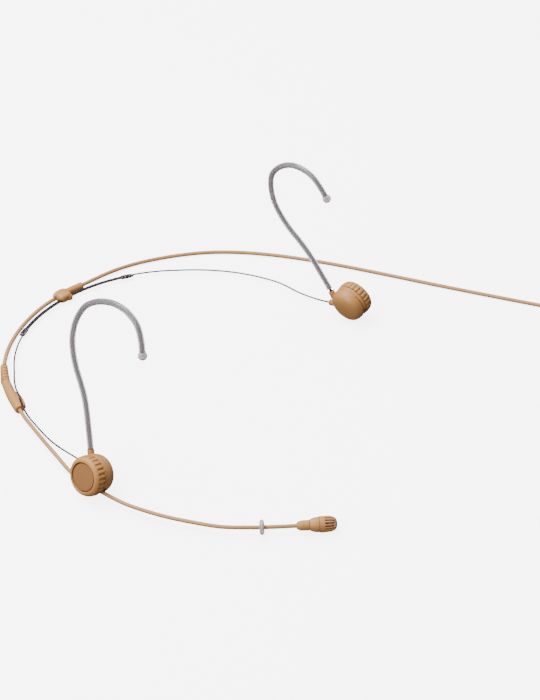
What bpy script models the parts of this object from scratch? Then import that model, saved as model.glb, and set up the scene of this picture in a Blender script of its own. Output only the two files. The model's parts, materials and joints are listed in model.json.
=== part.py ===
"""Headset microphone: a two-wire neckband with an ear hook and a clamp hub on each side, a boom with its
microphone capsule on the wearer's right, and a thin cable to a body-pack connector.

It lies on a table, z = 0. +X is the way the wearer faces, +Y is the wearer's left, +Z is up.
Lengths are in millimetres until a mesh or a matrix is made, and MM turns them into metres.
"""

import math

import bmesh
import bpy
from mathutils import Matrix, Vector

MM = 0.001
CLEARANCE = 0.3

# Hubs: the origin of a hub is the middle of its axis. n runs outward from the head, p forward and q up.
RIGHT_HUB = Vector((12.0, -80.0, 8.2))
LEFT_HUB = Vector((10.6, 80.0, 8.2))
HUB_TILT = 18.0
LEFT_PITCH = 18.0
KNOB_RADIUS = 8.1
KNOB_INNER_N = 1.1
KNOB_OUTER_N = 5.5
GRIP_COUNT = 25
GRIP_DEPTH = 0.6
DISC_RADIUS = 5.45
DISC_BOTTOM_N = 4.9
DISC_FACE_N = 5.25
BASE_RADIUS = 7.9
CAVITY_RADIUS = 6.7
CAVITY_FLOOR_N = -3.4
STUD_RADIUS = 1.2
STUD_HEAD_RADIUS = 2.6
CARRIER_RADIUS = 6.4
CARRIER_BOTTOM_N = -2.2
CARRIER_TOP_N = 0.8
BOOM_Q = -5.1
BOOM_N = -0.5

# Openings in the wall of the base, in degrees from p: a mouth where the boom leaves, and a seam above it.
MOUTH_HALF_HEIGHT = 1.05
MOUTH_ANGLES = (-76.0, -19.0)
SEAM_LEVELS = (-1.2, -0.7)
SEAM_ANGLES = (-19.5, 37.0)

# Sockets on the back of each hub base, in hub coordinates (p, q, n).
HOOK_SOCKET_TIP = Vector((-5.9, 7.6, -3.0))
HOOK_SOCKET_AXIS = Vector((-0.235, 0.964, 0.126)).normalized()
HOOK_SOCKET_DEPTH = 3.4
HOOK_BORE_DEPTH = 2.9
BAND_SOCKET_TIP = Vector((-10.0, 0.7, -3.5))
BAND_SOCKET_AXIS = Vector((-1.0, 0.0, 0.0))
BAND_SOCKET_DEPTH = 3.45
BAND_BORE_DEPTH = 3.2
SOCKET_RADIUS = 1.4

# Ear hooks: a wire core in a clear sleeve with a ball on the end. Route in hub (p, q).
HOOK_ROUTE = [
    (-5.25, 4.9),
    (-7.7, 14.9),
    (-11.6, 28.0),
    (-18.8, 41.5),
    (-20.5, 53.0),
    (-15.8, 64.6),
    (-6.4, 70.7),
    (4.0, 71.9),
    (12.4, 67.2),
    (15.8, 57.2),
]
HOOK_LEAN = 7.3
HOOK_CORE_RADIUS = 0.6
HOOK_SLEEVE_RADIUS = 1.3
HOOK_SLEEVE_BORE = 0.86
HOOK_BALL_RADIUS = 1.8

# Neckband: two spring wires, side by side round one arc at the back of the neck.
BAND_CENTRE = Vector((-22.0, 4.0, 0.0))
RIGHT_WIRE_ARC = 70.75
LEFT_WIRE_ARC = 71.7
WIRE_RADIUS = 0.35
WIRE_Z = 1.6
RIGHT_WIRE_END = 150.2
LEFT_WIRE_END = 205.4
FERRULE_LENGTH = 4.8
FERRULE_HEIGHT = 1.5
FERRULE_WALL = 0.25
FERRULE_BORE = 0.5
RIGHT_FERRULE_ANGLE = 152.9
LEFT_FERRULE_ANGLE = 203.6

# Boom and the boot where it joins the cable.
BOOM_RADIUS = 0.8
BOOT_RADII = [1.9, 2.15, 2.2, 2.2, 2.2, 2.15, 2.05, 1.95, 1.8]
LOBE_RADII = [0.8, 1.2, 1.3, 1.25, 0.8]
RELIEF_RIBS = 5
RELIEF_RADIUS = 1.75
RELIEF_TAPER = 0.3
RIB_DEPTH = 0.3

# Capsule: u runs along its axis from the boom end.
CAPSULE_START = Vector((87.4, -46.8, 3.15))
CAPSULE_HEADING = 46.8
CAPSULE_RADIUS = 3.05
CAPSULE_BORE = 1.95
NECK_TOP = 4.7
BODY_TOP = 8.3
CAP_BOTTOM = 8.6
CAP_SLOTS = 16
CAP_SLOT_HALF_WIDTH = 0.19
CAP_SLOT_LEVELS = (11.0, 14.6)
RING_CENTRE = Vector((78.0, -56.0, 3.1))
RING_HEADING = 44.0

# Cable, its coil and its connector.
CABLE_RADIUS = 0.9
CLIP_ARC = 74.5
CLIP_CENTRE_ANGLE = 178.5
CLIP_HALF_SIZES = (2.5, 3.4, 4.2)
CLIP_BLOCK_ARC = 72.8
CLIP_BLOCK_Z = 1.95
CLIP_UNDERSIDE = -1.85
CLIP_TAB_RADIUS = 1.5
CLIP_TAB_ARC = 9.3
CLIP_WIRE_SLOT = (1.9, 1.1)
COIL_CENTRE = Vector((82.0, 157.0, 0.0))
COIL_MEAN_RADIUS = 10.0
COIL_HALF_WIDTH = 3.6
COIL_BOTTOM = 0.5
COIL_HEADING = 20.9
TIE_WIDTH = 3.0
CONNECTOR_RADIUS = 4.8
CONNECTOR_REACH = 10.7
CONNECTOR_END = 41.0
PLUG_BOOT_START = 6.3
INSERT_RADIUS = 2.9
INSERT_LEVELS = (27.3, 38.5)
LATCH_LEVELS = (29.0, 34.0)
LATCH_HALF_WIDTH = 1.5
CONTACTS = 4
CONTACT_CIRCLE = 1.7
CONTACT_RADIUS = 0.45
CONTACT_DEPTH = 7.5

RIGHT_WIRE_ROUTE = [
    (5.0, -76.45, 7.8),
    (-3.0, -76.45, 7.8),
    (-11.0, -75.7, 7.2),
    (-19.0, -74.0, 6.3),
    (-27.0, -71.4, 5.4),
    (-33.3, -69.2, 4.9),
    (-38.9, -67.2, 4.5),
    (-46.3, -63.3, 3.85),
    (-51.6, -59.9, 3.55),
    (-59.7, -55.1, 3.05),
    (-68.6, -47.4, 2.4),
    (-74.4, -42.1, 2.0),
    (-79.6, -36.2, 1.75),
]
LEFT_WIRE_ROUTE = [
    (3.6, 77.15, 5.65),
    (-3.2, 77.8, 3.5),
    (-10.0, 78.2, 2.1),
    (-18.0, 78.1, 1.5),
    (-31.0, 78.3, 1.4),
    (-44.8, 74.4, 1.4),
    (-56.0, 68.6, 1.5),
    (-66.0, 60.9, 1.6),
    (-74.5, 52.6, 1.6),
]
BOOM_REAR_ROUTE = [
    (7.0, -81.1, 3.2),
    (0.0, -80.4, 3.25),
    (-11.4, -77.0, 3.3),
    (-22.3, -73.6, 3.1),
    (-32.0, -70.3, 2.8),
    (-40.5, -67.3, 2.5),
    (-47.1, -64.5, 2.4),
    (-50.6, -62.9, 2.3),
]
BOOM_FRONT_ROUTE = [
    (9.6, -81.1, 3.2),
    (12.0, -81.1, 3.2),
    (18.5, -80.9, 3.15),
    (25.0, -80.5, 3.05),
    (31.6, -79.6, 3.0),
    (42.0, -76.8, 3.05),
    (51.1, -73.4, 3.05),
    (64.8, -66.8, 3.1),
    (72.1, -61.3, 3.1),
    (78.0, -56.0, 3.1),
    (84.4, -49.8, 3.15),
    (89.6, -44.4, 3.15),
]
BOOT_ROUTE = [
    (-46.2, -64.85, 2.4),
    (-49.6, -63.3, 2.3),
    (-53.8, -61.4, 2.25),
    (-59.2, -58.7, 2.2),
    (-65.0, -55.5, 2.2),
]
LOBE_ROUTE = [
    (-45.6, -63.2, 2.75),
    (-48.6, -61.6, 2.75),
    (-52.4, -59.8, 2.7),
    (-56.8, -57.9, 2.6),
]
RELIEF_ROUTE = [
    (-65.4, -55.3, 2.2),
    (-69.6, -52.0, 2.15),
    (-73.8, -48.5, 2.1),
]
CABLE_ROUTE = [
    (-74.1, -48.3, 2.1),
    (-80.2, -41.6, 1.6),
    (-86.0, -33.6, 1.0),
    (-90.8, -24.3, 1.0),
    (-93.9, -15.0, 1.3),
    (-95.8, -6.0, 1.6),
    (-96.5, 3.0, 1.6),
    (-96.3, 11.5, 1.6),
    (-95.1, 20.5, 1.6),
    (-94.6, 29.5, 1.35),
    (-93.1, 40.2, 1.0),
    (-89.0, 51.6, 0.9),
    (-82.8, 62.9, 0.9),
    (-74.3, 74.6, 0.9),
    (-64.6, 83.9, 0.9),
    (-52.1, 92.6, 0.9),
    (-37.1, 100.6, 0.9),
    (-19.1, 108.4, 0.9),
    (-1.3, 115.1, 0.9),
    (14.5, 120.8, 0.9),
    (32.0, 127.2, 0.9),
    (51.8, 134.7, 0.9),
    (66.0, 140.2, 0.9),
    (75.7, 143.9, 0.9),
]

COLOURS = {
    "tan": ((0.52, 0.30, 0.17, 1.0), 0.55, 0.0),
    "tan_soft": ((0.55, 0.32, 0.18, 1.0), 0.65, 0.0),
    "disc": ((0.38, 0.21, 0.10, 1.0), 0.6, 0.0),
    "steel": ((0.25, 0.22, 0.22, 1.0), 0.3, 1.0),
    "clear": ((0.65, 0.65, 0.66, 1.0), 0.15, 0.0),
    "dark": ((0.03, 0.025, 0.025, 1.0), 0.6, 0.0),
    "brass": ((0.70, 0.52, 0.25, 1.0), 0.35, 1.0),
}


def clear_scene():
    for obj in list(bpy.data.objects):
        bpy.data.objects.remove(obj, do_unlink=True)


def material(name):
    found = bpy.data.materials.get(name)
    if found:
        return found
    colour, roughness, metallic = COLOURS[name]
    found = bpy.data.materials.new(name)
    found.use_nodes = True
    shader = found.node_tree.nodes["Principled BSDF"]
    shader.inputs["Base Color"].default_value = colour
    shader.inputs["Roughness"].default_value = roughness
    shader.inputs["Metallic"].default_value = metallic
    found.diffuse_color = colour
    return found


def add_object(name, data, frame, material_name):
    """Puts data in the scene under a frame, a 4 x 4 matrix in millimetres."""
    obj = bpy.data.objects.new(name, data)
    bpy.context.scene.collection.objects.link(obj)
    placed = frame.copy()
    placed.translation = placed.translation * MM
    obj.matrix_world = placed
    if material_name:
        data.materials.append(material(material_name))
    return obj


def mesh_object(name, points, faces, frame=None, material_name=None):
    """A closed mesh of points in millimetres, with its faces turned outward."""
    mesh = bpy.data.meshes.new(name)
    mesh.from_pydata([Vector(point) * MM for point in points], [], faces)
    work = bmesh.new()
    work.from_mesh(mesh)
    bmesh.ops.recalc_face_normals(work, faces=work.faces)
    work.to_mesh(mesh)
    work.free()
    mesh.shade_smooth()
    mesh.set_sharp_from_angle(angle=math.radians(35))
    return add_object(name, mesh, frame or Matrix.Identity(4), material_name)


def lathe(profile, steps, grip_rows=(), z_sign=1.0):
    """Points and faces of a closed (radius, z) profile turned about z. Rows in grip_rows dip at even steps."""
    points = []
    rows = []
    for index, (radius, z) in enumerate(profile):
        if radius == 0.0:
            rows.append([len(points)] * steps)
            points.append((0.0, 0.0, z * z_sign))
            continue
        row = []
        for step in range(steps):
            angle = 2.0 * math.pi * step / steps
            dip = GRIP_DEPTH if index in grip_rows and step % 2 == 0 else 0.0
            reach = radius - dip
            row.append(len(points))
            points.append((reach * math.cos(angle), reach * math.sin(angle), z * z_sign))
        rows.append(row)
    faces = []
    for index, row in enumerate(rows):
        following = rows[(index + 1) % len(rows)]
        if row[0] == row[1] and following[0] == following[1]:
            continue
        for step in range(steps):
            turn = (step + 1) % steps
            corners = [row[step], row[turn], following[turn], following[step]]
            faces.append(list(dict.fromkeys(corners)))
    return points, faces


def prism(outline, low, high):
    """Points and faces of an (x, y) outline raised from z = low to z = high."""
    count = len(outline)
    points = [(x, y, low) for x, y in outline] + [(x, y, high) for x, y in outline]
    faces = [list(range(count)), list(range(count, 2 * count))]
    for index in range(count):
        turn = (index + 1) % count
        faces.append([index, turn, turn + count, index + count])
    return points, faces


def block(low, high):
    x0, y0, z0 = low
    x1, y1, z1 = high
    return prism([(x0, y0), (x1, y0), (x1, y1), (x0, y1)], z0, z1)


def ball(radius, centre_z, steps, rows):
    profile = []
    for row in range(rows + 1):
        angle = math.pi * row / rows
        profile.append((round(radius * math.sin(angle), 6), centre_z - radius * math.cos(angle)))
    return lathe(profile, steps)


def arc_points(centre, radius, start, end, count, z=0.0):
    """Points on an arc about a vertical axis, from the start angle to the end angle in degrees."""
    found = []
    for index in range(count):
        angle = math.radians(start + (end - start) * index / (count - 1))
        found.append(Vector((centre.x + radius * math.cos(angle), centre.y + radius * math.sin(angle), z)))
    return found


def smooth_route(route, spacing):
    """Even points on a smooth curve (Catmull-Rom) through the route's own points."""
    knots = [Vector(point) for point in route]
    knots = [2 * knots[0] - knots[1]] + knots + [2 * knots[-1] - knots[-2]]
    fine = []
    for index in range(1, len(knots) - 2):
        before, start, end, after = knots[index - 1 : index + 3]
        for part in range(24):
            t = part / 24
            fine.append(
                0.5
                * (
                    2 * start
                    + (end - before) * t
                    + (2 * before - 5 * start + 4 * end - after) * t * t
                    + (3 * start - 3 * end + after - before) * t * t * t
                )
            )
    fine.append(knots[-2])
    length = sum((b - a).length for a, b in zip(fine, fine[1:]))
    count = max(2, round(length / spacing) + 1)
    even = [fine[0]]
    walked = 0.0
    for a, b in zip(fine, fine[1:]):
        step = (b - a).length
        while len(even) < count - 1 and walked + step >= length * len(even) / (count - 1):
            even.append(a.lerp(b, (length * len(even) / (count - 1) - walked) / step))
        walked += step
    return even + [fine[-1]]


def wire(name, points, radius, frame, material_name, resolution=2, radii=None):
    """A round wire along world points, as a bevelled curve with filled caps."""
    curve = bpy.data.curves.new(name, "CURVE")
    curve.dimensions = "3D"
    curve.bevel_depth = radius * MM
    curve.bevel_resolution = resolution
    curve.use_fill_caps = True
    spline = curve.splines.new("POLY")
    spline.points.add(len(points) - 1)
    into = frame.inverted()
    for index, point in enumerate(points):
        spline.points[index].co = (*(into @ Vector(point) * MM), 1.0)
        if radii:
            spline.points[index].radius = radii[index] / radius
    return add_object(name, curve, frame, material_name)


def sleeve(name, points, outer, inner, sides, frame, material_name):
    """An open-ended tube along world points, with its bore."""
    tangents = []
    for index in range(len(points)):
        ahead = points[min(index + 1, len(points) - 1)]
        behind = points[max(index - 1, 0)]
        tangents.append((ahead - behind).normalized())
    side = tangents[0].orthogonal().normalized()
    into = frame.inverted()
    rings = []
    coordinates = []
    for point, tangent in zip(points, tangents):
        side = (side - tangent * side.dot(tangent)).normalized()
        other = tangent.cross(side)
        for radius in (outer, inner):
            ring = []
            for step in range(sides):
                angle = 2.0 * math.pi * step / sides
                offset = side * math.cos(angle) + other * math.sin(angle)
                ring.append(len(coordinates))
                coordinates.append(into @ (point + offset * radius))
            rings.append(ring)
    outer_rings = rings[0::2]
    inner_rings = rings[1::2]
    loops = outer_rings + inner_rings[::-1]
    faces = []
    for index, ring in enumerate(loops):
        following = loops[(index + 1) % len(loops)]
        for step in range(sides):
            turn = (step + 1) % sides
            faces.append([ring[step], ring[turn], following[turn], following[step]])
    return mesh_object(name, coordinates, faces, frame, material_name)


def combine(target, tool, operation):
    """Adds an exact Boolean of tool to target, and keeps the tool out of the model."""
    tool.hide_render = True
    tool.display_type = "WIRE"
    modifier = target.modifiers.new(f"{operation.lower()}_{tool.name}", "BOOLEAN")
    modifier.operation = operation
    modifier.object = tool
    modifier.solver = "EXACT"


def as_mesh(obj):
    """Replaces a curve object with its evaluated mesh, so that a Boolean can take it."""
    graph = bpy.context.evaluated_depsgraph_get()
    mesh = bpy.data.meshes.new_from_object(obj.evaluated_get(graph))
    made = bpy.data.objects.new(obj.name + "_solid", mesh)
    bpy.context.scene.collection.objects.link(made)
    made.matrix_world = obj.matrix_world
    name = obj.name
    bpy.data.objects.remove(obj, do_unlink=True)
    made.name = name
    return made


def axis_frame(origin, axis, forward=None):
    """A frame at origin whose z is axis, and whose x is as near forward as it can be."""
    z = Vector(axis).normalized()
    x = Vector(forward) if forward else z.orthogonal()
    x = (x - z * x.dot(z)).normalized()
    y = z.cross(x)
    frame = Matrix((x, y, z)).transposed().to_4x4()
    frame.translation = Vector(origin)
    return frame


class Hub:
    """One side's frame. Local z is n on the right and -n on the left, so both frames are right-handed."""

    def __init__(self, side, centre, pitch):
        self.side = side
        self.name = "right" if side < 0 else "left"
        self.sign = 1.0 if side < 0 else -1.0
        tilt = Matrix.Rotation(math.radians(side * HUB_TILT), 3, "X")
        turn = Matrix.Rotation(math.radians(-pitch), 3, "Y")
        placed = tilt @ turn
        self.p = placed @ Vector((1, 0, 0))
        self.q = placed @ Vector((0, 0, 1))
        self.n = placed @ Vector((0, side, 0))
        self.centre = centre
        self.frame = Matrix((self.p, self.q, self.n * self.sign)).transposed().to_4x4()
        self.frame.translation = centre

    def at(self, p, q, n):
        return self.centre + self.p * p + self.q * q + self.n * n

    def along(self, direction):
        return self.p * direction[0] + self.q * direction[1] + self.n * direction[2]

    def turned(self, name, profile, steps, material_name, grip_rows=()):
        points, faces = lathe(profile, steps, grip_rows, self.sign)
        return mesh_object(f"{self.name}_{name}", points, faces, self.frame, material_name)


def knob_profile():
    """The thumbwheel: a capped rim with a threaded boss, a recess for the disc and a rounded shoulder."""
    recess = DISC_RADIUS + CLEARANCE
    bore = STUD_RADIUS + CLEARANCE
    rim_bore = CAVITY_RADIUS
    boss = 3.2
    return [
        (bore, 1.9),
        (boss, 1.9),
        (boss, 3.3),
        (rim_bore, 3.3),
        (rim_bore, KNOB_INNER_N),
        (KNOB_RADIUS, KNOB_INNER_N),
        (KNOB_RADIUS, 3.6),
        (KNOB_RADIUS, 3.9),
        (KNOB_RADIUS - 0.35, 4.8),
        (KNOB_RADIUS - 1.3, KNOB_OUTER_N - 0.15),
        (recess + 0.3, KNOB_OUTER_N),
        (recess, DISC_BOTTOM_N - CLEARANCE),
        (bore, DISC_BOTTOM_N - CLEARANCE),
    ]


def base_profile():
    """The hub base: a rounded cup, open towards the knob."""
    rim = KNOB_INNER_N - CLEARANCE
    return [
        (0.0, CAVITY_FLOOR_N),
        (5.9, CAVITY_FLOOR_N),
        (CAVITY_RADIUS, CAVITY_FLOOR_N + 0.8),
        (CAVITY_RADIUS, rim),
        (BASE_RADIUS, rim),
        (BASE_RADIUS, -2.0),
        (BASE_RADIUS - 0.2, -3.0),
        (BASE_RADIUS - 0.9, -4.5),
        (BASE_RADIUS - 2.5, -5.7),
        (3.0, -6.3),
        (0.0, -6.45),
    ]


def wall_cutter(hub, name, angles, levels):
    """A ring sector that opens the wall of the base between two angles and two levels of n."""
    start, end = angles
    outline = []
    for radius, first, last in ((CAVITY_RADIUS - 0.8, start, end), (BASE_RADIUS + 1.0, end, start)):
        for index in range(7):
            angle = math.radians(first + (last - first) * index / 6)
            outline.append((radius * math.cos(angle), radius * math.sin(angle)))
    low, high = sorted((levels[0] * hub.sign, levels[1] * hub.sign))
    points, faces = prism(outline, low, high)
    return mesh_object(f"{hub.name}_{name}_cutter", points, faces, hub.frame)


def socket_pieces(hub, name, tip, axis, depth, bore_radius, bore_depth):
    """A socket tube from inside the base to its tip, and the cutter for its bore."""
    frame = axis_frame(hub.at(*tip), hub.along(axis), hub.n)
    points, faces = lathe([(0.0, -depth), (SOCKET_RADIUS, -depth), (SOCKET_RADIUS, 0.0), (0.0, 0.0)], 14)
    tube = mesh_object(f"{hub.name}_{name}_tube", points, faces, frame)
    bore_profile = [(0.0, -bore_depth), (bore_radius, -bore_depth), (bore_radius, 1.0), (0.0, 1.0)]
    points, faces = lathe(bore_profile, 10)
    bore = mesh_object(f"{hub.name}_{name}_bore", points, faces, frame)
    return tube, bore


def make_hub(hub):
    hub.turned("knob", knob_profile(), 2 * GRIP_COUNT, "tan", (5, 6))
    disc_edge = [(DISC_RADIUS, DISC_BOTTOM_N), (DISC_RADIUS, DISC_FACE_N)]
    hub.turned("knob_disc", [(0.0, DISC_BOTTOM_N)] + disc_edge + [(0.0, DISC_FACE_N)], 36, "disc")
    make_base(hub)
    stud = [
        (0.0, -3.2),
        (STUD_HEAD_RADIUS, -3.2),
        (STUD_HEAD_RADIUS, -2.5),
        (STUD_RADIUS, -2.5),
        (STUD_RADIUS, 4.4),
        (0.0, 4.4),
    ]
    hub.turned("clamp_stud", stud, 16, "steel")
    hub.turned("clamp_washer", [(1.9, 1.1), (4.2, 1.1), (4.2, 1.6), (1.9, 1.6)], 20, "steel")
    make_carrier(hub)


def make_base(hub):
    base = hub.turned("hub_base", base_profile(), 36, "tan")
    hook_socket = (HOOK_SOCKET_TIP, HOOK_SOCKET_AXIS, HOOK_SOCKET_DEPTH)
    hook_tube, hook_bore = socket_pieces(hub, "hook_socket", *hook_socket, HOOK_SLEEVE_BORE, HOOK_BORE_DEPTH)
    band_socket = (BAND_SOCKET_TIP, BAND_SOCKET_AXIS, BAND_SOCKET_DEPTH)
    band_bore_radius = WIRE_RADIUS + CLEARANCE
    band_tube, band_bore = socket_pieces(hub, "band_socket", *band_socket, band_bore_radius, BAND_BORE_DEPTH)
    for tube in (hook_tube, band_tube):
        combine(base, tube, "UNION")
    mouth = (BOOM_N - MOUTH_HALF_HEIGHT, BOOM_N + MOUTH_HALF_HEIGHT)
    cutters = [hook_bore, band_bore]
    for name, angles, levels in (("mouth", MOUTH_ANGLES, mouth), ("seam", SEAM_ANGLES, SEAM_LEVELS)):
        mirrored = [180.0 - angle for angle in angles]
        cutters.append(wall_cutter(hub, f"front_{name}", angles, levels))
        cutters.append(wall_cutter(hub, f"rear_{name}", mirrored, levels))
    for cutter in cutters:
        combine(base, cutter, "DIFFERENCE")


def make_carrier(hub):
    """The block that the knob clamps the boom with: a disc with a step cut for the boom."""
    bore = STUD_RADIUS + CLEARANCE
    profile = [
        (bore, CARRIER_BOTTOM_N),
        (CARRIER_RADIUS, CARRIER_BOTTOM_N),
        (CARRIER_RADIUS, CARRIER_TOP_N),
        (bore, CARRIER_TOP_N),
    ]
    carrier = hub.turned("boom_carrier", profile, 32, "tan")
    reach = CARRIER_RADIUS + 1.0
    width = BOOM_RADIUS + CLEARANCE
    low, high = sorted(((BOOM_N - width) * hub.sign, (CARRIER_TOP_N + 1.0) * hub.sign))
    points, faces = block((-reach, -reach, low), (reach, BOOM_Q + width, high))
    step = mesh_object(f"{hub.name}_carrier_step", points, faces, hub.frame)
    combine(carrier, step, "DIFFERENCE")


def hook_points(hub):
    lean = math.tan(math.radians(HOOK_LEAN))
    start_n = HOOK_SOCKET_TIP.z - HOOK_SOCKET_TIP.y * lean
    return smooth_route([hub.at(p, q, start_n + q * lean) for p, q in HOOK_ROUTE], 6.0)


def make_hook(hub):
    """The ear hook turns in its socket, so its parts have their origin on the socket's axis."""
    axis = hub.along(HOOK_SOCKET_AXIS)
    frame = axis_frame(hub.at(*HOOK_SOCKET_TIP), axis, hub.p)
    points = hook_points(hub)
    wire(f"{hub.name}_hook_core", points, HOOK_CORE_RADIUS, frame, "steel", resolution=1)
    tip = points[-1]
    heading = (points[-1] - points[-2]).normalized()
    start = hub.at(*HOOK_SOCKET_TIP) + axis * 0.4
    body = [point for point in points if (point - start).dot(axis) > 2.0]
    body = [point for point in body if (point - tip).length > HOOK_BALL_RADIUS + 2.0]
    last = tip - heading * (HOOK_BALL_RADIUS + 0.2)
    name = f"{hub.name}_hook_sleeve"
    sleeve(name, [start] + body + [last], HOOK_SLEEVE_RADIUS, HOOK_SLEEVE_BORE, 9, frame, "clear")
    ball_frame = axis_frame(tip - heading * 0.2, heading)
    points, faces = ball(HOOK_BALL_RADIUS, 0.0, 16, 9)
    tip_ball = mesh_object(f"{hub.name}_hook_tip", points, faces, ball_frame, "clear")
    bore_profile = [(0.0, -4.0), (HOOK_SLEEVE_BORE, -4.0), (HOOK_SLEEVE_BORE, 0.6), (0.0, 0.6)]
    points, faces = lathe(bore_profile, 10)
    bore = mesh_object(f"{hub.name}_hook_tip_bore", points, faces, ball_frame)
    combine(tip_ball, bore, "DIFFERENCE")


def make_band():
    """Each wire runs from its hub round the back, past the other's ferrule."""
    right_arc = arc_points(BAND_CENTRE, RIGHT_WIRE_ARC, 207.5, RIGHT_WIRE_END, 11, WIRE_Z)
    left_arc = arc_points(BAND_CENTRE, LEFT_WIRE_ARC, 142.0, LEFT_WIRE_END, 12, WIRE_Z)
    origin = Matrix.Translation(BAND_CENTRE)
    wires = {"right": RIGHT_WIRE_ROUTE + right_arc, "left": LEFT_WIRE_ROUTE + left_arc}
    for name, route in wires.items():
        wire(f"{name}_band_wire", route_points(route, 6.0), WIRE_RADIUS, origin, "steel", resolution=1)
    make_ferrule("right_band_ferrule", RIGHT_FERRULE_ANGLE)
    make_ferrule("left_band_ferrule", LEFT_FERRULE_ANGLE)


def make_ferrule(name, angle):
    """A flat crimp with two bores, one for each wire."""
    turn = math.radians(angle)
    tangent = Vector((-math.sin(turn), math.cos(turn), 0.0))
    outward = Vector((math.cos(turn), math.sin(turn), 0.0))
    half_gap = (LEFT_WIRE_ARC - RIGHT_WIRE_ARC) / 2
    middle = (LEFT_WIRE_ARC + RIGHT_WIRE_ARC) / 2
    frame = axis_frame(BAND_CENTRE + outward * middle + Vector((0, 0, WIRE_Z)), tangent, outward)
    radius = FERRULE_HEIGHT / 2
    outline = []
    for side in (1, -1):
        for index in range(9):
            bend = math.radians(-90 + 180 * index / 8)
            reach = half_gap + FERRULE_BORE + FERRULE_WALL - radius
            outline.append((side * (reach + radius * math.cos(bend)), side * radius * math.sin(bend)))
    points, faces = prism(outline, -FERRULE_LENGTH / 2, FERRULE_LENGTH / 2)
    body = mesh_object(name, points, faces, frame, "steel")
    for offset, arc in ((half_gap, LEFT_WIRE_ARC), (-half_gap, RIGHT_WIRE_ARC)):
        past_ends = 1.4
        swing = math.degrees(FERRULE_LENGTH / 2 / middle) * past_ends
        bore_points = arc_points(BAND_CENTRE, arc, angle - swing, angle + swing, 5, WIRE_Z)
        bore = wire(f"{name}_bore_{arc:.0f}", bore_points, FERRULE_BORE, frame, None, resolution=1)
        combine(body, as_mesh(bore), "DIFFERENCE")


def route_points(route, spacing):
    return smooth_route([Vector(point) for point in route], spacing)


def make_junction():
    """The boot that joins boom and cable, with a lobe that grips the neckband wire, and a ribbed relief."""
    origin = Matrix.Translation(BOOT_ROUTE[0])
    axis = route_points(BOOT_ROUTE, 2.5)
    boot = as_mesh(wire("junction_boot", axis, 2.0, origin, "tan", 2, BOOT_RADII))
    lobe_points = route_points(LOBE_ROUTE, 3.1)
    lobe = as_mesh(wire("junction_lobe", lobe_points, 1.3, origin, None, 2, LOBE_RADII))
    combine(boot, lobe, "UNION")
    channel = route_points(RIGHT_WIRE_ROUTE[4:], 3.0)
    wire_cut = as_mesh(wire("junction_wire_cut", channel, WIRE_RADIUS + CLEARANCE, origin, None, 1))
    combine(boot, wire_cut, "DIFFERENCE")
    mouth = axis[0] + (axis[0] - axis[1]) * 0.5
    bore = as_mesh(wire("junction_bore", [mouth] + axis[:-1], BOOM_RADIUS + CLEARANCE, origin, None, 1))
    combine(boot, bore, "DIFFERENCE")
    sleeve("junction_splice", axis[3:6], BOOM_RADIUS, 0.4, 10, origin, "brass")
    steps = 4 * RELIEF_RIBS
    ring_radii = []
    for index in range(steps + 1):
        rib = 0.0 if index % 4 in (0, 1) else RIB_DEPTH
        ring_radii.append(RELIEF_RADIUS - RELIEF_TAPER * index / steps - rib)
    start, middle, end = [Vector(point) for point in RELIEF_ROUTE]
    relief = []
    for index in range(steps + 1):
        t = index / steps
        relief.append(start * (1 - t) ** 2 + middle * 2 * t * (1 - t) + end * t * t)
    wire("junction_relief", relief, 1.6, origin, "tan_soft", 2, ring_radii)


def make_boom(hub):
    wire("boom_front", route_points(BOOM_FRONT_ROUTE, 4.0), BOOM_RADIUS, hub.frame, "tan")
    boot_frame = Matrix.Translation(BOOT_ROUTE[0])
    wire("boom_rear", route_points(BOOM_REAR_ROUTE, 5.0), BOOM_RADIUS, boot_frame, "tan")


def heading_vector(degrees):
    return Vector((math.cos(math.radians(degrees)), math.sin(math.radians(degrees)), 0.0))


def make_capsule():
    """Neck boot, body, slotted cap, inner screen and element, all turned about the capsule's axis."""
    frame = axis_frame(CAPSULE_START, heading_vector(CAPSULE_HEADING), Vector((0, 0, 1)))
    bore = BOOM_RADIUS + CLEARANCE
    neck = [(bore, 0.0), (1.35, 0.0), (1.75, 0.6), (2.0, 1.9), (2.05, NECK_TOP), (bore, NECK_TOP)]
    points, faces = lathe(neck, 28)
    mesh_object("capsule_neck", points, faces, frame, "tan_soft")
    spigot = 2.45
    body = [
        (1.2, NECK_TOP + CLEARANCE),
        (2.1, NECK_TOP + CLEARANCE),
        (2.65, 5.9),
        (2.9, 6.9),
        (2.95, BODY_TOP),
        (spigot, BODY_TOP),
        (spigot, 9.2),
        (CAPSULE_BORE, 9.2),
        (CAPSULE_BORE, 6.4),
        (1.2, 6.4),
    ]
    points, faces = lathe(body, 32)
    mesh_object("capsule_body", points, faces, frame, "tan")
    cap = make_cap(frame, spigot + CLEARANCE)
    cut_slots(cap, frame)
    element_radius = CAPSULE_BORE - CLEARANCE
    points, faces = lathe([(0.0, 7.0), (element_radius, 7.0), (element_radius, 11.0), (0.0, 11.0)], 20)
    mesh_object("capsule_element", points, faces, frame, "steel")
    screen = [(1.3, 11.3), (2.05, 11.3), (2.05, 13.2), (1.6, 14.1), (0.0, 14.4), (0.0, 13.9), (1.3, 13.4)]
    points, faces = lathe(screen, 20)
    mesh_object("capsule_screen", points, faces, frame, "dark")


def make_cap(frame, bore):
    """The domed cap, hollow over the screen, with a wider bore that slips over the body's spigot."""
    outer = [
        (CAPSULE_RADIUS, CAP_BOTTOM),
        (CAPSULE_RADIUS, 12.9),
        (2.8, 13.9),
        (2.3, 14.8),
        (1.4, 15.35),
        (0.0, 15.5),
    ]
    inner = [(0.0, 14.7), (1.7, 14.3), (2.35, 12.8), (2.35, 9.5), (bore, 9.5), (bore, CAP_BOTTOM)]
    points, faces = lathe(outer + inner, 32)
    return mesh_object("capsule_cap", points, faces, frame, "tan")


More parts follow.
